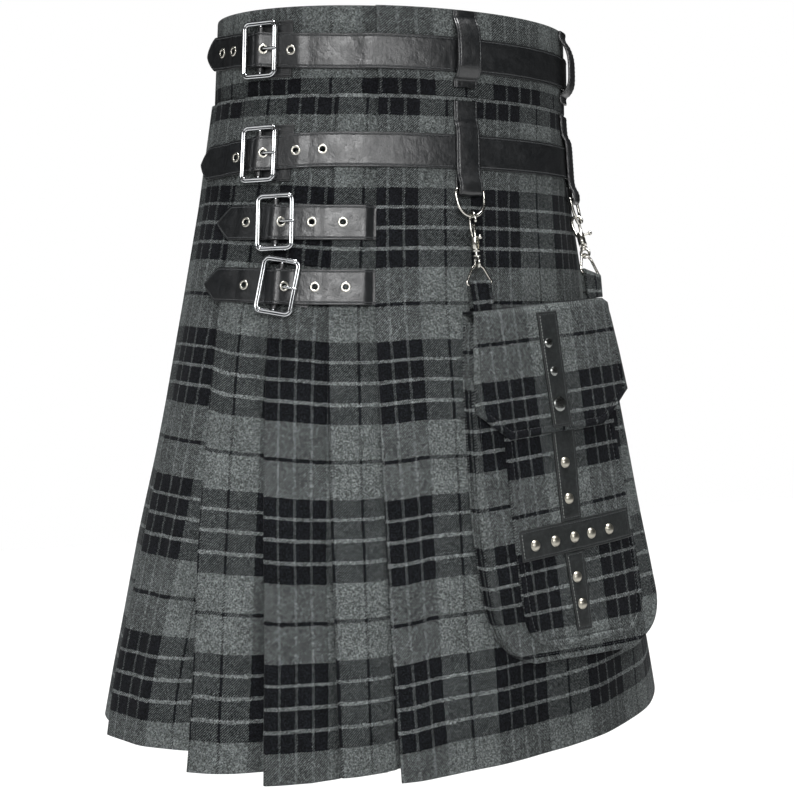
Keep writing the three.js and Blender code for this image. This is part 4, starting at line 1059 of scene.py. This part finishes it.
def make_buckle(strap):
    matrix = frame_on(float(strap_z(strap, strap.buckle)), strap.buckle, buckle_out(strap))
    turn = math.radians(strap.tilt)
    spin = np.eye(4)
    spin[:2, :2] = [[math.cos(turn), -math.sin(turn)], [math.sin(turn), math.cos(turn)]]
    matrix = matrix @ spin
    bar = BUCKLE.bar
    line = rounded_rectangle(BUCKLE.width - bar, BUCKLE.height - bar, BUCKLE.corner - bar / 2)
    ahead = units(np.roll(line, -1, axis=0) - np.roll(line, 1, axis=0))
    outward = np.stack([ahead[:, 1], -ahead[:, 0]], axis=-1)
    sections = []
    for p, n in zip(line, outward):
        sections.append([(p[0] - n[0] * a, p[1] - n[1] * a, h) for a, h in BUCKLE_PROFILE])
    name = strap.name.replace("strap", "buckle")
    piece = Piece(name + "_frame", chrome)
    points, faces = ring_shell(sections, closed=True)
    piece.add(place(points, matrix), faces)
    half = BUCKLE.height / 2 - bar / 2
    pin = [(0, y, 0.4 - BUCKLE.drop) for y in np.linspace(-half, half, 9)]
    piece.add_wire(matrix, pin, BUCKLE.pin, 12, hint=(1, 0, 0))
    piece.make("kilt", [name], 50)

    name = strap.name.replace("strap", "prong")
    line = smooth_line(PRONG_LINE, 5)
    prong = Piece(name + "_pin", chrome)
    radii = np.interp(line[:, 0], [4.6, 8, 16, 17], [0.95, 1.0, 0.85, 0.45])
    prong.add_wire(matrix, line, radii, 12, hint=(0, 1, 0))
    prong.make("kilt", [name], 50)

    name = strap.name.replace("strap", "buckle_patch")
    patch = Piece(name + "_leather", leather)
    xs = np.linspace(-4, 25, 24)

    def point_at(index, y, level):
        return on_strap(strap, xs[index], y, strap.base + SEAM + PATCH_THICK / 2 + level)

    section = ribbon_section(PATCH_THICK, rounding=0.35)
    patch.add(*ribbon(point_at, np.full(len(xs), strap.patch / 2), section))
    end = (BUCKLE.height - 2 * bar - 1.4) / 2
    heights = (-end, -end + 0.5, *np.linspace(-end + 2, end - 2, 9), end - 0.5, end)
    radii = [BUCKLE.roll - 0.5] + [BUCKLE.roll] * (len(heights) - 2) + [BUCKLE.roll - 0.5]
    patch.add_wire(matrix, [(0, y, -BUCKLE.drop) for y in heights], radii, 18, hint=(1, 0, 0))
    patch.make("kilt", [name])


# Belt loops

LOOP_WIDTH = 21.0
LOOP_CROWN = 0.9           # how far the middle of a loop stands proud of its edges
LOOP_ANGLES = (84.5, 32, 315, 270, 225)
RING_LOOPS = (84.5, 32)
RING = SimpleNamespace(width=24.0, drop=21.0, wire=1.25, z=-111.0, out=9.4, lean=12.0)
RING_CONTACT = (90, 130)


def make_loop(name, angle, path):
    """A leather loop along a path of (out, height), with a row of stitches at each side."""
    line = smooth_line(path, 6)
    step = np.concatenate([line[1:], line[-1:]]) - np.concatenate([line[:1], line[:-1]])
    length = np.hypot(step[:, 0], step[:, 1])
    out_n, z_n = -step[:, 1] / length, step[:, 0] / length
    half = LOOP_WIDTH / 2

    def point_at(index, y, level):
        level = level + LOOP_CROWN * (1 - (y / half) ** 2)
        z = line[index, 1] + z_n[index] * level
        out = line[index, 0] + out_n[index] * level
        across = units(oval_point(z, angle - 1, out) - oval_point(z, angle + 1, out))
        return oval_point(z, angle, out) + across * y[..., None]

    piece = Piece(name + "_leather", leather, thread)
    piece.add(*ribbon(point_at, np.full(len(line), half), ribbon_section(LEATHER, spread=(-1, 0, 1))))
    index = np.arange(len(line))
    for side in (1, -1):
        y = np.full(len(line), side * (half - EDGE_STITCH))
        sewn, above = (point_at(index, y, LEATHER / 2 + level) for level in (-0.1, 1.0))
        add_stitches(piece, sewn, above, thread)
    piece.make("kilt", [name])


def make_belt_loops():
    for i, angle in enumerate(LOOP_ANGLES):
        on_apron = angle < 112
        foot = (BAND_OVER if on_apron else BAND_OUT) + BAND / 2 + SEAM + LEATHER / 2
        crown = foot + (7 if on_apron else 6.4)
        path = [(foot, 30), (foot, 24), (mix(foot, crown, 0.6), 17), (crown, 8), (crown + 0.6, -4),
                (crown, -14), (mix(foot, crown, 0.55), -20.5), (foot, -24), (foot, -30)]
        make_loop(f"belt_loop_{i + 1}", angle, path)


def hanging_frame(upper, lower, angle):
    y = unit(upper - lower)
    away = unit(oval_point(0, angle, 10) - oval_point(0, angle, 0))
    x = unit(np.cross(y, away))
    return basis(x, y, np.cross(x, y), upper)


def ring_ends(angle):
    return oval_point(RING.z, angle, RING.out), oval_point(RING.z - RING.drop, angle, RING.lean)


def ring_point(turn):
    t = math.radians(turn)
    return np.array([RING.width / 2 * 1.04 * math.cos(t), -3 - (RING.drop - 3) * math.sin(t) ** 0.8, 0.0])


def make_ring_loops():
    flat = OVER_OUT + CLOTH / 2 + SEAM + LEATHER / 2
    over = flat + LEATHER + 2 * SEAM
    turn = RING.wire + 1.5 * SEAM + LEATHER / 2
    for i, angle in enumerate(RING_LOOPS):
        path = [(flat, -41), (flat, -56), (over, -63.5), (over, -80), (over, -97.5), (RING.out + turn, -106)]
        for bend in (0, 45, 90, 135, 180):
            t = math.radians(bend)
            path.append((RING.out + turn * math.cos(t), RING.z - turn * math.sin(t)))
        path.append((flat, -101))
        make_loop(f"ring_loop_{i + 1}", angle, path)

        matrix = hanging_frame(*ring_ends(angle), angle)
        half = RING.width / 2
        line = [(-half, 0, 0), (-half / 3, 0, 0), (half / 3, 0, 0), (half, 0, 0)]
        line += [ring_point(t) for t in range(20, 161, 20)]
        ring = Piece(f"d_ring_{i + 1}_wire", nickel)
        ring.add_wire(matrix, smooth_line(line, 5, closed=True), RING.wire, 16, closed=True)
        ring.make("kilt", [f"d_ring_{i + 1}"], 60)


# Pocket

POCKET = SimpleNamespace(angle=68.5, back=6.6, front=16.0, wall=1.3, swing_out=24.0, swing_from=-30.0,
                         swing_over=174.0)
TILT = 0.085
BAG = np.array([(-209, -62, 68), (-250, -69, 77), (-310, -74, 83), (-370, -78, 88), (-425, -77, 94),
                (-448, -73.5, 95.5), (-464, -66, 87), (-474, -56, 70), (-479, -44, 50)], dtype=float)
PATCH_POCKET = np.array([(-286, -46.5, 66), (-340, -48.5, 69), (-400, -50, 72), (-432, -50, 73),
                         (-452, -47.5, 70), (-463, -38, 60), (-468, -26, 45)], dtype=float)
FLAP = np.array([(-208, -63.5, 73.5), (-222, -66, 76.5), (-245, -69, 80.5), (-277, -73, 85),
                 (-301, -44.5, 50)], dtype=float)
FLAP_ROOF = -200.7
FLAP_OUT = 4.6
FLAP_THICK = 1.6
PATCH_DEEP = 2.0
BAG_CLOTH, PATCH_CLOTH, FLAP_CLOTH = (-69.0, 29.0), (-62.5, 38.0), (-64.0, 24.0)


def pocket_point(p, z, out):
    p, z, out = one_shape(p, z, out)
    level = np.minimum(out, POCKET.front)
    swing = POCKET.swing_out * smooth(0.0, POCKET.swing_over, p - POCKET.swing_from)
    height = z + TILT * p * smooth(-479.0, -400.0, z)
    return oval_point(height, travel(height, POCKET.angle, -p - 1e-6, level, 24), out + swing)


def outline_rows(table, count):
    """More rows for an outline table, closer together where its corners are rounded."""
    line = smooth_line(table, 6)
    at = run_length(line)
    share = np.linspace(0, at[-1], count)
    return np.stack([np.interp(share, at, line[:, k]) for k in range(3)], axis=-1)


EDGE_STEPS = (0.0, 0.5, 1.2, 2.6, 4.2, 5.2, 5.9, 6.6, 7.6, 9.5)      # mm from an edge, finer over its seam
PANEL_SEAM = 5.9
# A sewn edge: how far its rim stands proud, how deep its seam's groove is, how deep the stitches lie.
FRONT_EDGE, PATCH_EDGE, FLAP_EDGE = (0.9, 0.5, 0.45), (0.8, 0.6, 0.55), (0.9, 0.6, 0.55)


def edge_relief(d, rim, depth):
    """How far a sewn edge stands proud, d mm in from it: a rounded rim and then the groove of its seam."""
    rounding = -0.55 * clamp01(1 - d / 1.2) ** 2
    ridge = rim * smooth(0.2, 1.6, d) * (1 - smooth(PANEL_SEAM - 1.4, PANEL_SEAM, d))
    return rounding + ridge - depth * np.exp(-((d - PANEL_SEAM) / 0.75) ** 2)


def outline_at(table, z):
    """The rows of an outline at some heights: height, left edge and right edge."""
    return np.stack([z, *(np.interp(-z, -table[:, 0], table[:, k]) for k in (1, 2))], axis=-1)


def fine_rows(rows):
    """The rows of an outline, with more where the seam runs along its foot."""
    foot = rows[-1, 0]
    z = [at for at in rows[:, 0] if at > foot + 11] + [foot + step for step in EDGE_STEPS[::-1]]
    return outline_at(rows, np.array(z))


def panel_grid(rows, out, columns, edge=None):
    """A grid over an outline, with the relief of its edge where it is sewn."""
    left, right = rows[:, 1][None], rows[:, 2][None]
    if edge is None:
        p = mix(left, right, np.linspace(0, 1, columns)[:, None])
        z = np.broadcast_to(rows[:, 0][None], p.shape)
        return pocket_point(p, z, out), p, z
    steps = np.array(EDGE_STEPS)[:, None]
    steps = np.minimum(steps, (right - left) * 0.3 * steps / EDGE_STEPS[-1])
    from_left, from_right = left + steps, right - steps[::-1]
    inner = np.linspace(0, 1, columns)[1:-1, None]
    p = np.concatenate([from_left, mix(from_left[-1:], from_right[:1], inner), from_right])
    z = np.broadcast_to(rows[:, 0][None], p.shape)
    slope_left, slope_right = (np.gradient(rows[:, k], rows[:, 0]) for k in (1, 2))
    d_left = (p - left) / np.hypot(1, slope_left)[None]
    d_right = (right - p) / np.hypot(1, slope_right)[None]
    d = np.minimum(np.minimum(d_left, d_right), z - rows[-1, 0])
    return pocket_point(p, z, out + edge_relief(d, *edge[:2])), p, z


def make_panel(name, rows, start, end, columns, shift, edge=None):
    """A panel of the pocket between two distances out."""
    front, p, z = panel_grid(rows, end, columns, edge)
    cloth = np.stack([p - shift[0], z + shift[1]], axis=-1)
    return wall_piece(name, front, pocket_point(p, z, start), cloth)


def sew_outline(name, rows, level, top=0.0):
    """Stitches over the seam along the sides and the foot of an outline."""
    fine = rows[rows[:, 0] > rows[-1, 0] + PANEL_SEAM]
    z = np.append(fine[:, 0], rows[-1, 0] + PANEL_SEAM)
    z = z[z < rows[0, 0] - top]
    edges = []
    for column, sign in ((1, 1), (2, -1)):
        slope = np.gradient(rows[:, column], rows[:, 0])
        at = rows[:, column] + sign * PANEL_SEAM * np.hypot(1, slope)
        edges.append(np.interp(-z, -rows[:, 0], at))
    left, right = edges
    foot = np.linspace(left[-1], right[-1], 30)
    sewn = Piece(name + "_stitches", thread)
    for p, at in ((left, z), (right, z), (foot, np.full(len(foot), z[-1]))):
        add_stitches(sewn, pocket_point(p, at, level), pocket_point(p, at, level + 1), thread)
    sewn.make("kilt")


def make_pocket_bag():
    back, front, thick = POCKET.back, POCKET.front, POCKET.wall
    rows = fine_rows(outline_rows(BAG, 64))
    backs = make_panel("pocket_back", rows, back, back + thick, 40, BAG_CLOTH)
    fronts = make_panel("pocket_front", rows, front - thick, front, 50, BAG_CLOTH, FRONT_EDGE)
    sew_outline("pocket_front", rows, front - FRONT_EDGE[2])

    def side(depth):
        raised = rows[:, 0] + depth * clamp01((-430 - rows[:, 0]) / 49)
        left = np.stack([rows[:, 1] + depth, raised], axis=-1)
        right = np.stack([rows[:, 2] - depth, raised], axis=-1)[::-1]
        foot = np.stack([np.linspace(left[-1, 0], right[0, 0], 22)[1:-1], np.full(20, raised[-1])], axis=-1)
        line = np.concatenate([left, foot, right])
        levels = np.linspace(back + thick + SEAM, front - thick - SEAM, 6)
        return pocket_point(line[:, 0][:, None], line[:, 1][:, None], levels[None]), line, levels

    outer, line, levels = side(0.2)
    inner, _, _ = side(0.2 + thick)
    cloth = np.stack(np.broadcast_arrays(levels[None], line[:, 1][:, None] + BAG_CLOTH[1]), axis=-1)
    return backs, fronts, wall_piece("pocket_gusset", outer, inner, cloth)


def make_pocket_patch():
    back = POCKET.front + SEAM
    face = back + PATCH_DEEP
    rows = fine_rows(outline_rows(PATCH_POCKET, 60))
    sew_outline("pocket_patch", rows, face - PATCH_EDGE[2])
    return make_panel("pocket_patch", rows, back, face, 46, PATCH_CLOTH, PATCH_EDGE)


def make_flap():
    thick = FLAP_THICK
    lower = POCKET.front + FLAP_OUT
    rows = [(-62, 71, FLAP_ROOF - thick, POCKET.back + 0.2), (-62, 71, FLAP_ROOF - thick, lower - 2)]
    rows += [(left, right, z, lower) for z, left, right in FLAP]
    inner = np.array(rows, dtype=float)
    outer = inner.copy()
    outer[:, 2] += [thick, thick, 3.6, 0, 0, 0, 0]
    outer[:, 3] += [0, 0.6, thick, thick, thick, thick, thick]
    spans = (6, 4, 6, 10, 14, 8)

    def finer(table):
        found = []
        for i, count in enumerate(spans):
            found += [mix(table[i], table[i + 1], k / count) for k in range(count)]
        tall = table[-2, 2] - table[-1, 2]
        found = [row for row in found if row[2] > table[-1, 2] + 10.5]
        found += [mix(table[-1], table[-2], step / tall) for step in EDGE_STEPS[::-1]]
        return np.array(found)

    fine_inner, fine_outer = finer(inner), finer(outer)
    steps = np.array(EDGE_STEPS)[:, None]
    foot = FLAP[-1, 0]

    def grid(table, relief):
        left, right = table[:, 0][None] + steps, table[:, 1][None] - steps[::-1]
        p = np.concatenate([left, mix(left[-1:], right[:1], np.linspace(0, 1, 44)[1:-1, None]), right])
        z = np.broadcast_to(table[:, 2][None], p.shape)
        hanging = smooth(-206.0, -216.0, z)
        lean = np.where(z < FLAP[3, 0], 0.65, 1.0)
        d = np.minimum((p - table[:, 0][None]) * lean, (table[:, 1][None] - p) * lean)
        d = np.minimum(d, z - foot)
        proud = relief * hanging * edge_relief(d, *FLAP_EDGE[:2])
        return pocket_point(p, z, np.broadcast_to(table[:, 3][None], p.shape) + proud), p

    front, p = grid(fine_outer, 1.0)
    back, _ = grid(fine_inner, 0.0)
    slide = run_length(fine_outer[:, 2:4])
    depth = fine_outer[-1, 2] + slide[-1] - slide
    cloth = np.stack([p - FLAP_CLOTH[0], np.broadcast_to(depth[None] + FLAP_CLOTH[1], p.shape)], axis=-1)
    outline = outline_at(FLAP, np.linspace(FLAP[0, 0], FLAP[-1, 0], 60))
    sew_outline("pocket_flap", outline, lower + thick - FLAP_EDGE[2], top=10.0)
    return wall_piece("pocket_flap", front, back, cloth)


def surface_frame(p, z, out):
    return face_frame(pocket_point(p - 1, z, out), pocket_point(p + 1, z, out), pocket_point(p, z + 4, out),
                      pocket_point(p, z - 4, out), pocket_point(p, z, out))


TRIM_STEPS = (0.0, 0.25, 0.7, 1.3, 1.7, 2.0, 2.3, 2.8)
TRIM_SEAM = 2.0
TRIM_STITCH = SimpleNamespace(pitch=2.6, length=2.0, radius=0.24)


def trim_relief(d):
    return -0.45 * clamp01(1 - d / 0.7) ** 2 - 0.3 * np.exp(-((d - TRIM_SEAM) / 0.35) ** 2)


def make_trim(name, rows, start, studs, height, columns, dome):
    piece = Piece(name + "_leather", trim_leather, dome, painted_highlight_thread, thread)
    table = np.array(rows, dtype=float)
    head, foot = table[0, 0], table[-1, 0]
    steps = np.array(TRIM_STEPS)
    middle = np.linspace(head - TRIM_STEPS[-1], foot + TRIM_STEPS[-1], 26)[1:-1]
    z = np.concatenate([head - steps, middle, foot + steps[::-1]])
    left = np.interp(-z, -table[:, 0], table[:, 1])[None]
    right = np.interp(-z, -table[:, 0], table[:, 2])[None]
    inner = np.linspace(0, 1, columns)[1:-1, None]
    from_left = left + steps[:, None]
    from_right = right - steps[::-1, None]
    p = np.concatenate([from_left, mix(from_left[-1:], from_right[:1], inner), from_right])
    level = np.broadcast_to(z[None], p.shape)
    d = np.minimum(np.minimum(p - left, right - p), np.minimum(head - level, level - foot))
    front = pocket_point(p, level, start + TRIM + trim_relief(d))
    piece.add(*wall_shell(front, pocket_point(p, level, start)))
    face = start + TRIM

    def sew(across, down, material):
        line, above = (pocket_point(across, down, face + up) for up in (-0.28, 1.0))
        add_stitches(piece, line, above, material, **vars(TRIM_STITCH))

    inside = (z < head - TRIM_SEAM) & (z > foot + TRIM_SEAM)
    # The left row is pale thread, a painted highlight of the lit left edge; the right row is dark thread.
    sew(left[0, inside] + TRIM_SEAM, z[inside], painted_highlight_thread)
    sew(right[0, inside] - TRIM_SEAM, z[inside], thread)
    for at in (head - TRIM_SEAM, foot + TRIM_SEAM):
        sew(p[3:-3, 10], np.full(len(p) - 6, at), thread)
    for across, down, radius in studs:
        profile = [(0, -0.4), (radius, -0.4), (radius, 0.25)]
        for k in range(1, 9):
            t = k / 8 * math.pi / 2
            profile.append((radius * 0.93 * math.cos(t), 0.25 + (height - 0.25) * math.sin(t)))
        piece.add(*lathe_shell(profile, surface_frame(across, down, face)), material=dome)
    piece.make("kilt", [name])


def make_trims():
    lower = POCKET.front + FLAP_OUT + FLAP_THICK + SEAM
    snaps = [(2, -230.5, 3.8), (4, -253, 3.8), (5.4, -279, 6)]
    make_trim("flap_strap", [(-206, -5, 14), (-240, -4.4, 14.2), (-270, -3.6, 14.8), (-297, -2.8, 15.4)],
              lower, snaps, 1.4, 16, snap_metal)
    on_patch = POCKET.front + SEAM + PATCH_DEEP + SEAM
    make_trim("trim_upper", [(-292, -1.4, 21), (-330, -2, 19), (-371.6, -2.9, 16.5)], on_patch,
              [(6.8, -326, 4.4), (6.3, -354.5, 4.4)], 2.6, 16, brass)
    make_trim("trim_bar", [(-372, -46.3, 66.5), (-384, -46.3, 66.5), (-396, -46.3, 67)], on_patch,
              [(p, -385, 4.4) for p in (-32.8, -12.5, 6.8, 24, 43)], 2.6, 60, brass)
    make_trim("trim_lower", [(-396.4, -4, 14.2), (-430, -2.5, 13.8), (-457.5, -1.4, 13)], on_patch,
              [(4.2, -416, 4.4), (6, -437.3, 4.4)], 2.6, 16, brass)


# Snap hooks

TABS = [(-49.0, -180.3), (68.0, -181.6)]
TAB_OUT = 13.0
TAB_THICK, TAB_HALF = 1.6, 9.0
BAR_HALF, BAR_WIRE = 11.0, 1.1
HOOK_WIRE = 1.3
BARREL = SimpleNamespace(foot=-28.0, waist=-26.0, top=-16.0, wide=3.4, bore=1.7, slot=22)
EYE_AT = BARREL.foot - 8.2
EYE_WIRE, EYE_TALL, EYE_HALF = 1.2, 4.3, 3.4
BOLT_AT, STEM_AT = 1.2, -17.6      # the bolt's middle before the barrel's, and the height of its stem


def chain_ends(i):
    angle = RING_LOOPS[i]
    top = place(ring_point(RING_CONTACT[i]), hanging_frame(*ring_ends(angle), angle))
    return top, pocket_point(TABS[i][0], TABS[i][1], TAB_OUT)


def ring_frame(i):
    top, bottom = chain_ends(i)
    p, z = TABS[i]
    y = unit(top - bottom)
    x = pocket_point(p + 4, z, TAB_OUT) - pocket_point(p - 4, z, TAB_OUT)
    x = unit(x - y * x.dot(y))
    return basis(x, y, np.cross(x, y), top)


def turned(profile, matrix, sides=24, gap=0.0, bore=0.0):
    """A solid turned round the frame's y, or one with a bore and a slot of that half angle at +z."""
    swap = np.eye(4)
    swap[:3, :3] = [[1, 0, 0], [0, 0, 1], [0, 1, 0]]
    if not gap:
        return lathe_shell(profile, matrix @ swap, sides)
    turns = np.radians(np.linspace(90 + gap, 450 - gap, sides))
    section = list(profile) + [(bore, profile[-1][1]), (bore, profile[0][1])]
    points, faces = ring_shell([[(r * math.cos(t), y, r * math.sin(t)) for r, y in section] for t in turns])
    return place(points, matrix), faces


def make_hook(i, matrix):
    """A swivel hook: its curve, the barrel that the bolt slides in, and the eye below."""
    over = RING.wire + SEAM + HOOK_WIRE
    curve = [(0, -18, -2.6), (0, -14, -3.4), (0, -9, -4.4), (0, -4, -4.6), (0, 0, -3.9), (0, over, -1.6),
             (0, over + 0.2, 0.8), (0, 1.2, 3.2), (0, -2, 4.2), (0, -5, 3.6)]
    line = smooth_line(curve, 6)
    ends = [0, 10, 30, len(line) - 4, len(line) - 1]
    radii = np.interp(np.arange(len(line)), ends, [HOOK_WIRE, HOOK_WIRE, HOOK_WIRE, 1.25, 0.8])
    hook = Piece(f"hook_{i + 1}_metal", nickel)
    hook.add_wire(matrix, line, radii, 14, hint=(1, 0, 0))
    foot, waist, wide = BARREL.foot, BARREL.waist, BARREL.wide
    slotted = [(wide - 0.5, waist), (wide, waist + 0.5), (wide, -17.0), (wide - 0.4, BARREL.top)]
    hook.add(*turned(slotted, matrix, 28, BARREL.slot, BARREL.bore))
    solid = [(0, foot), (wide - 0.3, foot), (wide, foot + 0.4), (wide, waist + 0.05), (0, waist + 0.05)]
    hook.add(*turned(solid, matrix, 28))
    neck = [(0, foot - 0.2), (1.5, foot + 0.2), (1.5, foot - 2.6), (0, foot - 2.8)]
    hook.add(*turned(neck, matrix, 16))
    collar = [(0, foot - 4.2), (2.4, foot - 4.0), (3.1, foot - 3.4), (3.1, foot - 2.7), (2.7, foot - 2.4),
              (0, foot - 2.4)]
    hook.add(*turned(collar, matrix, 24))
    turns = np.linspace(0, 2 * math.pi, 36, endpoint=False)
    eye = [(0, EYE_AT + EYE_TALL * math.cos(t), EYE_HALF * math.sin(t)) for t in turns]
    hook.add_wire(matrix, eye, EYE_WIRE, 12, closed=True, hint=(1, 0, 0))
    hook.make("kilt", [f"hook_{i + 1}"], 50)


def make_bolt(i, matrix):
    bolt = Piece(f"bolt_{i + 1}_metal", nickel)
    shift = np.eye(4)
    shift[2, 3] = BOLT_AT
    pin = [(0, -19.1), (1.2, -18.9), (1.2, -6.6), (0.8, -6.15), (0, -6.1)]
    bolt.add(*turned(pin, matrix @ shift, 16))
    bolt.add_wire(matrix, [(0, STEM_AT, z) for z in (1.6, 3, 5, 7.2)], 0.9, 12, hint=(1, 0, 0))
    profile = [(1.9 * math.sin(t), -1.9 * math.cos(t) * 0.85) for t in np.linspace(0, math.pi, 11)]
    knob = matrix.copy()
    knob[:3, 3] = place(np.array([0, STEM_AT, 8.2]), matrix)
    bolt.add(*lathe_shell(profile, knob, 20))
    bolt.make(f"trigger_{i + 1}", [f"bolt_{i + 1}"], 50)


def make_pocket_ring(i, length):
    """The ring between a hook's eye and a tab, with its straight side in the tab."""
    apex = EYE_AT - EYE_TALL + EYE_WIRE + SEAM + BAR_WIRE
    side = [(1.6, apex, 0), (5.4, apex - 3.4, 0), (BAR_HALF, 2 - length, 0), (BAR_HALF - 1.2, -length, 0)]
    ring = [(-1.6, apex, 0), *side, (0, -length, 0), *[(-x, y, 0) for x, y, _ in side[:0:-1]]]
    finer = []
    for a, b in zip(ring, ring[1:] + ring[:1]):
        a, b = np.array(a), np.array(b)
        count = 3 if np.linalg.norm(b - a) > 5 else 1
        finer += [mix(a, b, k / count) for k in range(count)]
    loop = Piece(f"pocket_ring_{i + 1}_wire", nickel)
    loop.add_wire(ring_frame(i), smooth_line(finer, 3, closed=True), BAR_WIRE, 14, closed=True)
    loop.make("kilt", [f"pocket_ring_{i + 1}"], 60)


def make_tab(i):
    top, bottom = chain_ends(i)
    matrix = ring_frame(i)
    length = float(np.linalg.norm(top - bottom))
    turn = BAR_WIRE + 1.5 * SEAM + TAB_THICK / 2
    p, _ = TABS[i]
    across = np.linspace(-TAB_HALF, TAB_HALF, 10)
    bends = np.radians(np.linspace(-20, 200, 21))

    def side(offset):
        radius = turn + offset
        feet = [pocket_point(p + across, FLAP_ROOF + SEAM, TAB_OUT + out) for out in (radius, -radius)]
        rows = []
        for bend in bends:
            y, z = -length + radius * math.sin(bend), radius * math.cos(bend)
            rows.append(place(np.stack(one_shape(across, y, z), axis=-1), matrix))
        grid = [feet[0], mix(feet[0], rows[0], 0.35), mix(feet[0], rows[0], 0.7), *rows,
                mix(feet[1], rows[-1], 0.7), mix(feet[1], rows[-1], 0.35), feet[1]]
        return np.stack(grid, axis=0)

    outer, inner = side(TAB_THICK / 2), side(-TAB_THICK / 2)
    run = run_length(outer[:, 0])
    cloth = np.stack(np.broadcast_arrays(across[None] + 30.0 + 40.0 * i, -152.0 - run[:, None]), axis=-1)
    return wall_piece(f"pocket_tab_{i + 1}", outer, inner, cloth)


for name, first, last in (("pleats_right", 0, 4), ("pleats_back", 5, 9), ("pleats_left", 10, 13)):
    skirt_piece(name, [pleat_line(z, first, last) for z in SKIRT_ROWS])
apron = skirt_piece("over_apron", [apron_line(z) for z in SKIRT_ROWS])
under = skirt_piece("under_apron", [under_line(z) for z in SKIRT_ROWS])
band = make_band(
    "waistband", UNDER_END, lambda z: LEFT_SEAM - 0.15 + 0 * z, lambda angle: BAND_OUT + 0 * angle,
    band_across)
over_band = make_band(
    "waistband_over", APRON_SEAM + 0.15, lambda z: body_row(z).edge,
    lambda angle: mix(BAND_OUT, BAND_OVER, smooth(APRON_SEAM, 2.0, angle)),
    lambda stretch: APRON_FIRST + stretch[-1] - stretch)
for strap in STRAPS:
    make_strap(strap)
    make_buckle(strap)
make_belt_loops()
make_ring_loops()
pocket_back, pocket_front, pocket_gusset = make_pocket_bag()
pocket_patch = make_pocket_patch()
pocket_flap = make_flap()
make_trims()
for i in (0, 1):
    make_tab(i)
    top, bottom = chain_ends(i)
    hook_frame = hanging_frame(top, bottom, RING_LOOPS[i])
    make_hook(i, hook_frame)
    make_bolt(i, hook_frame)
    make_pocket_ring(i, float(np.linalg.norm(top - bottom)))
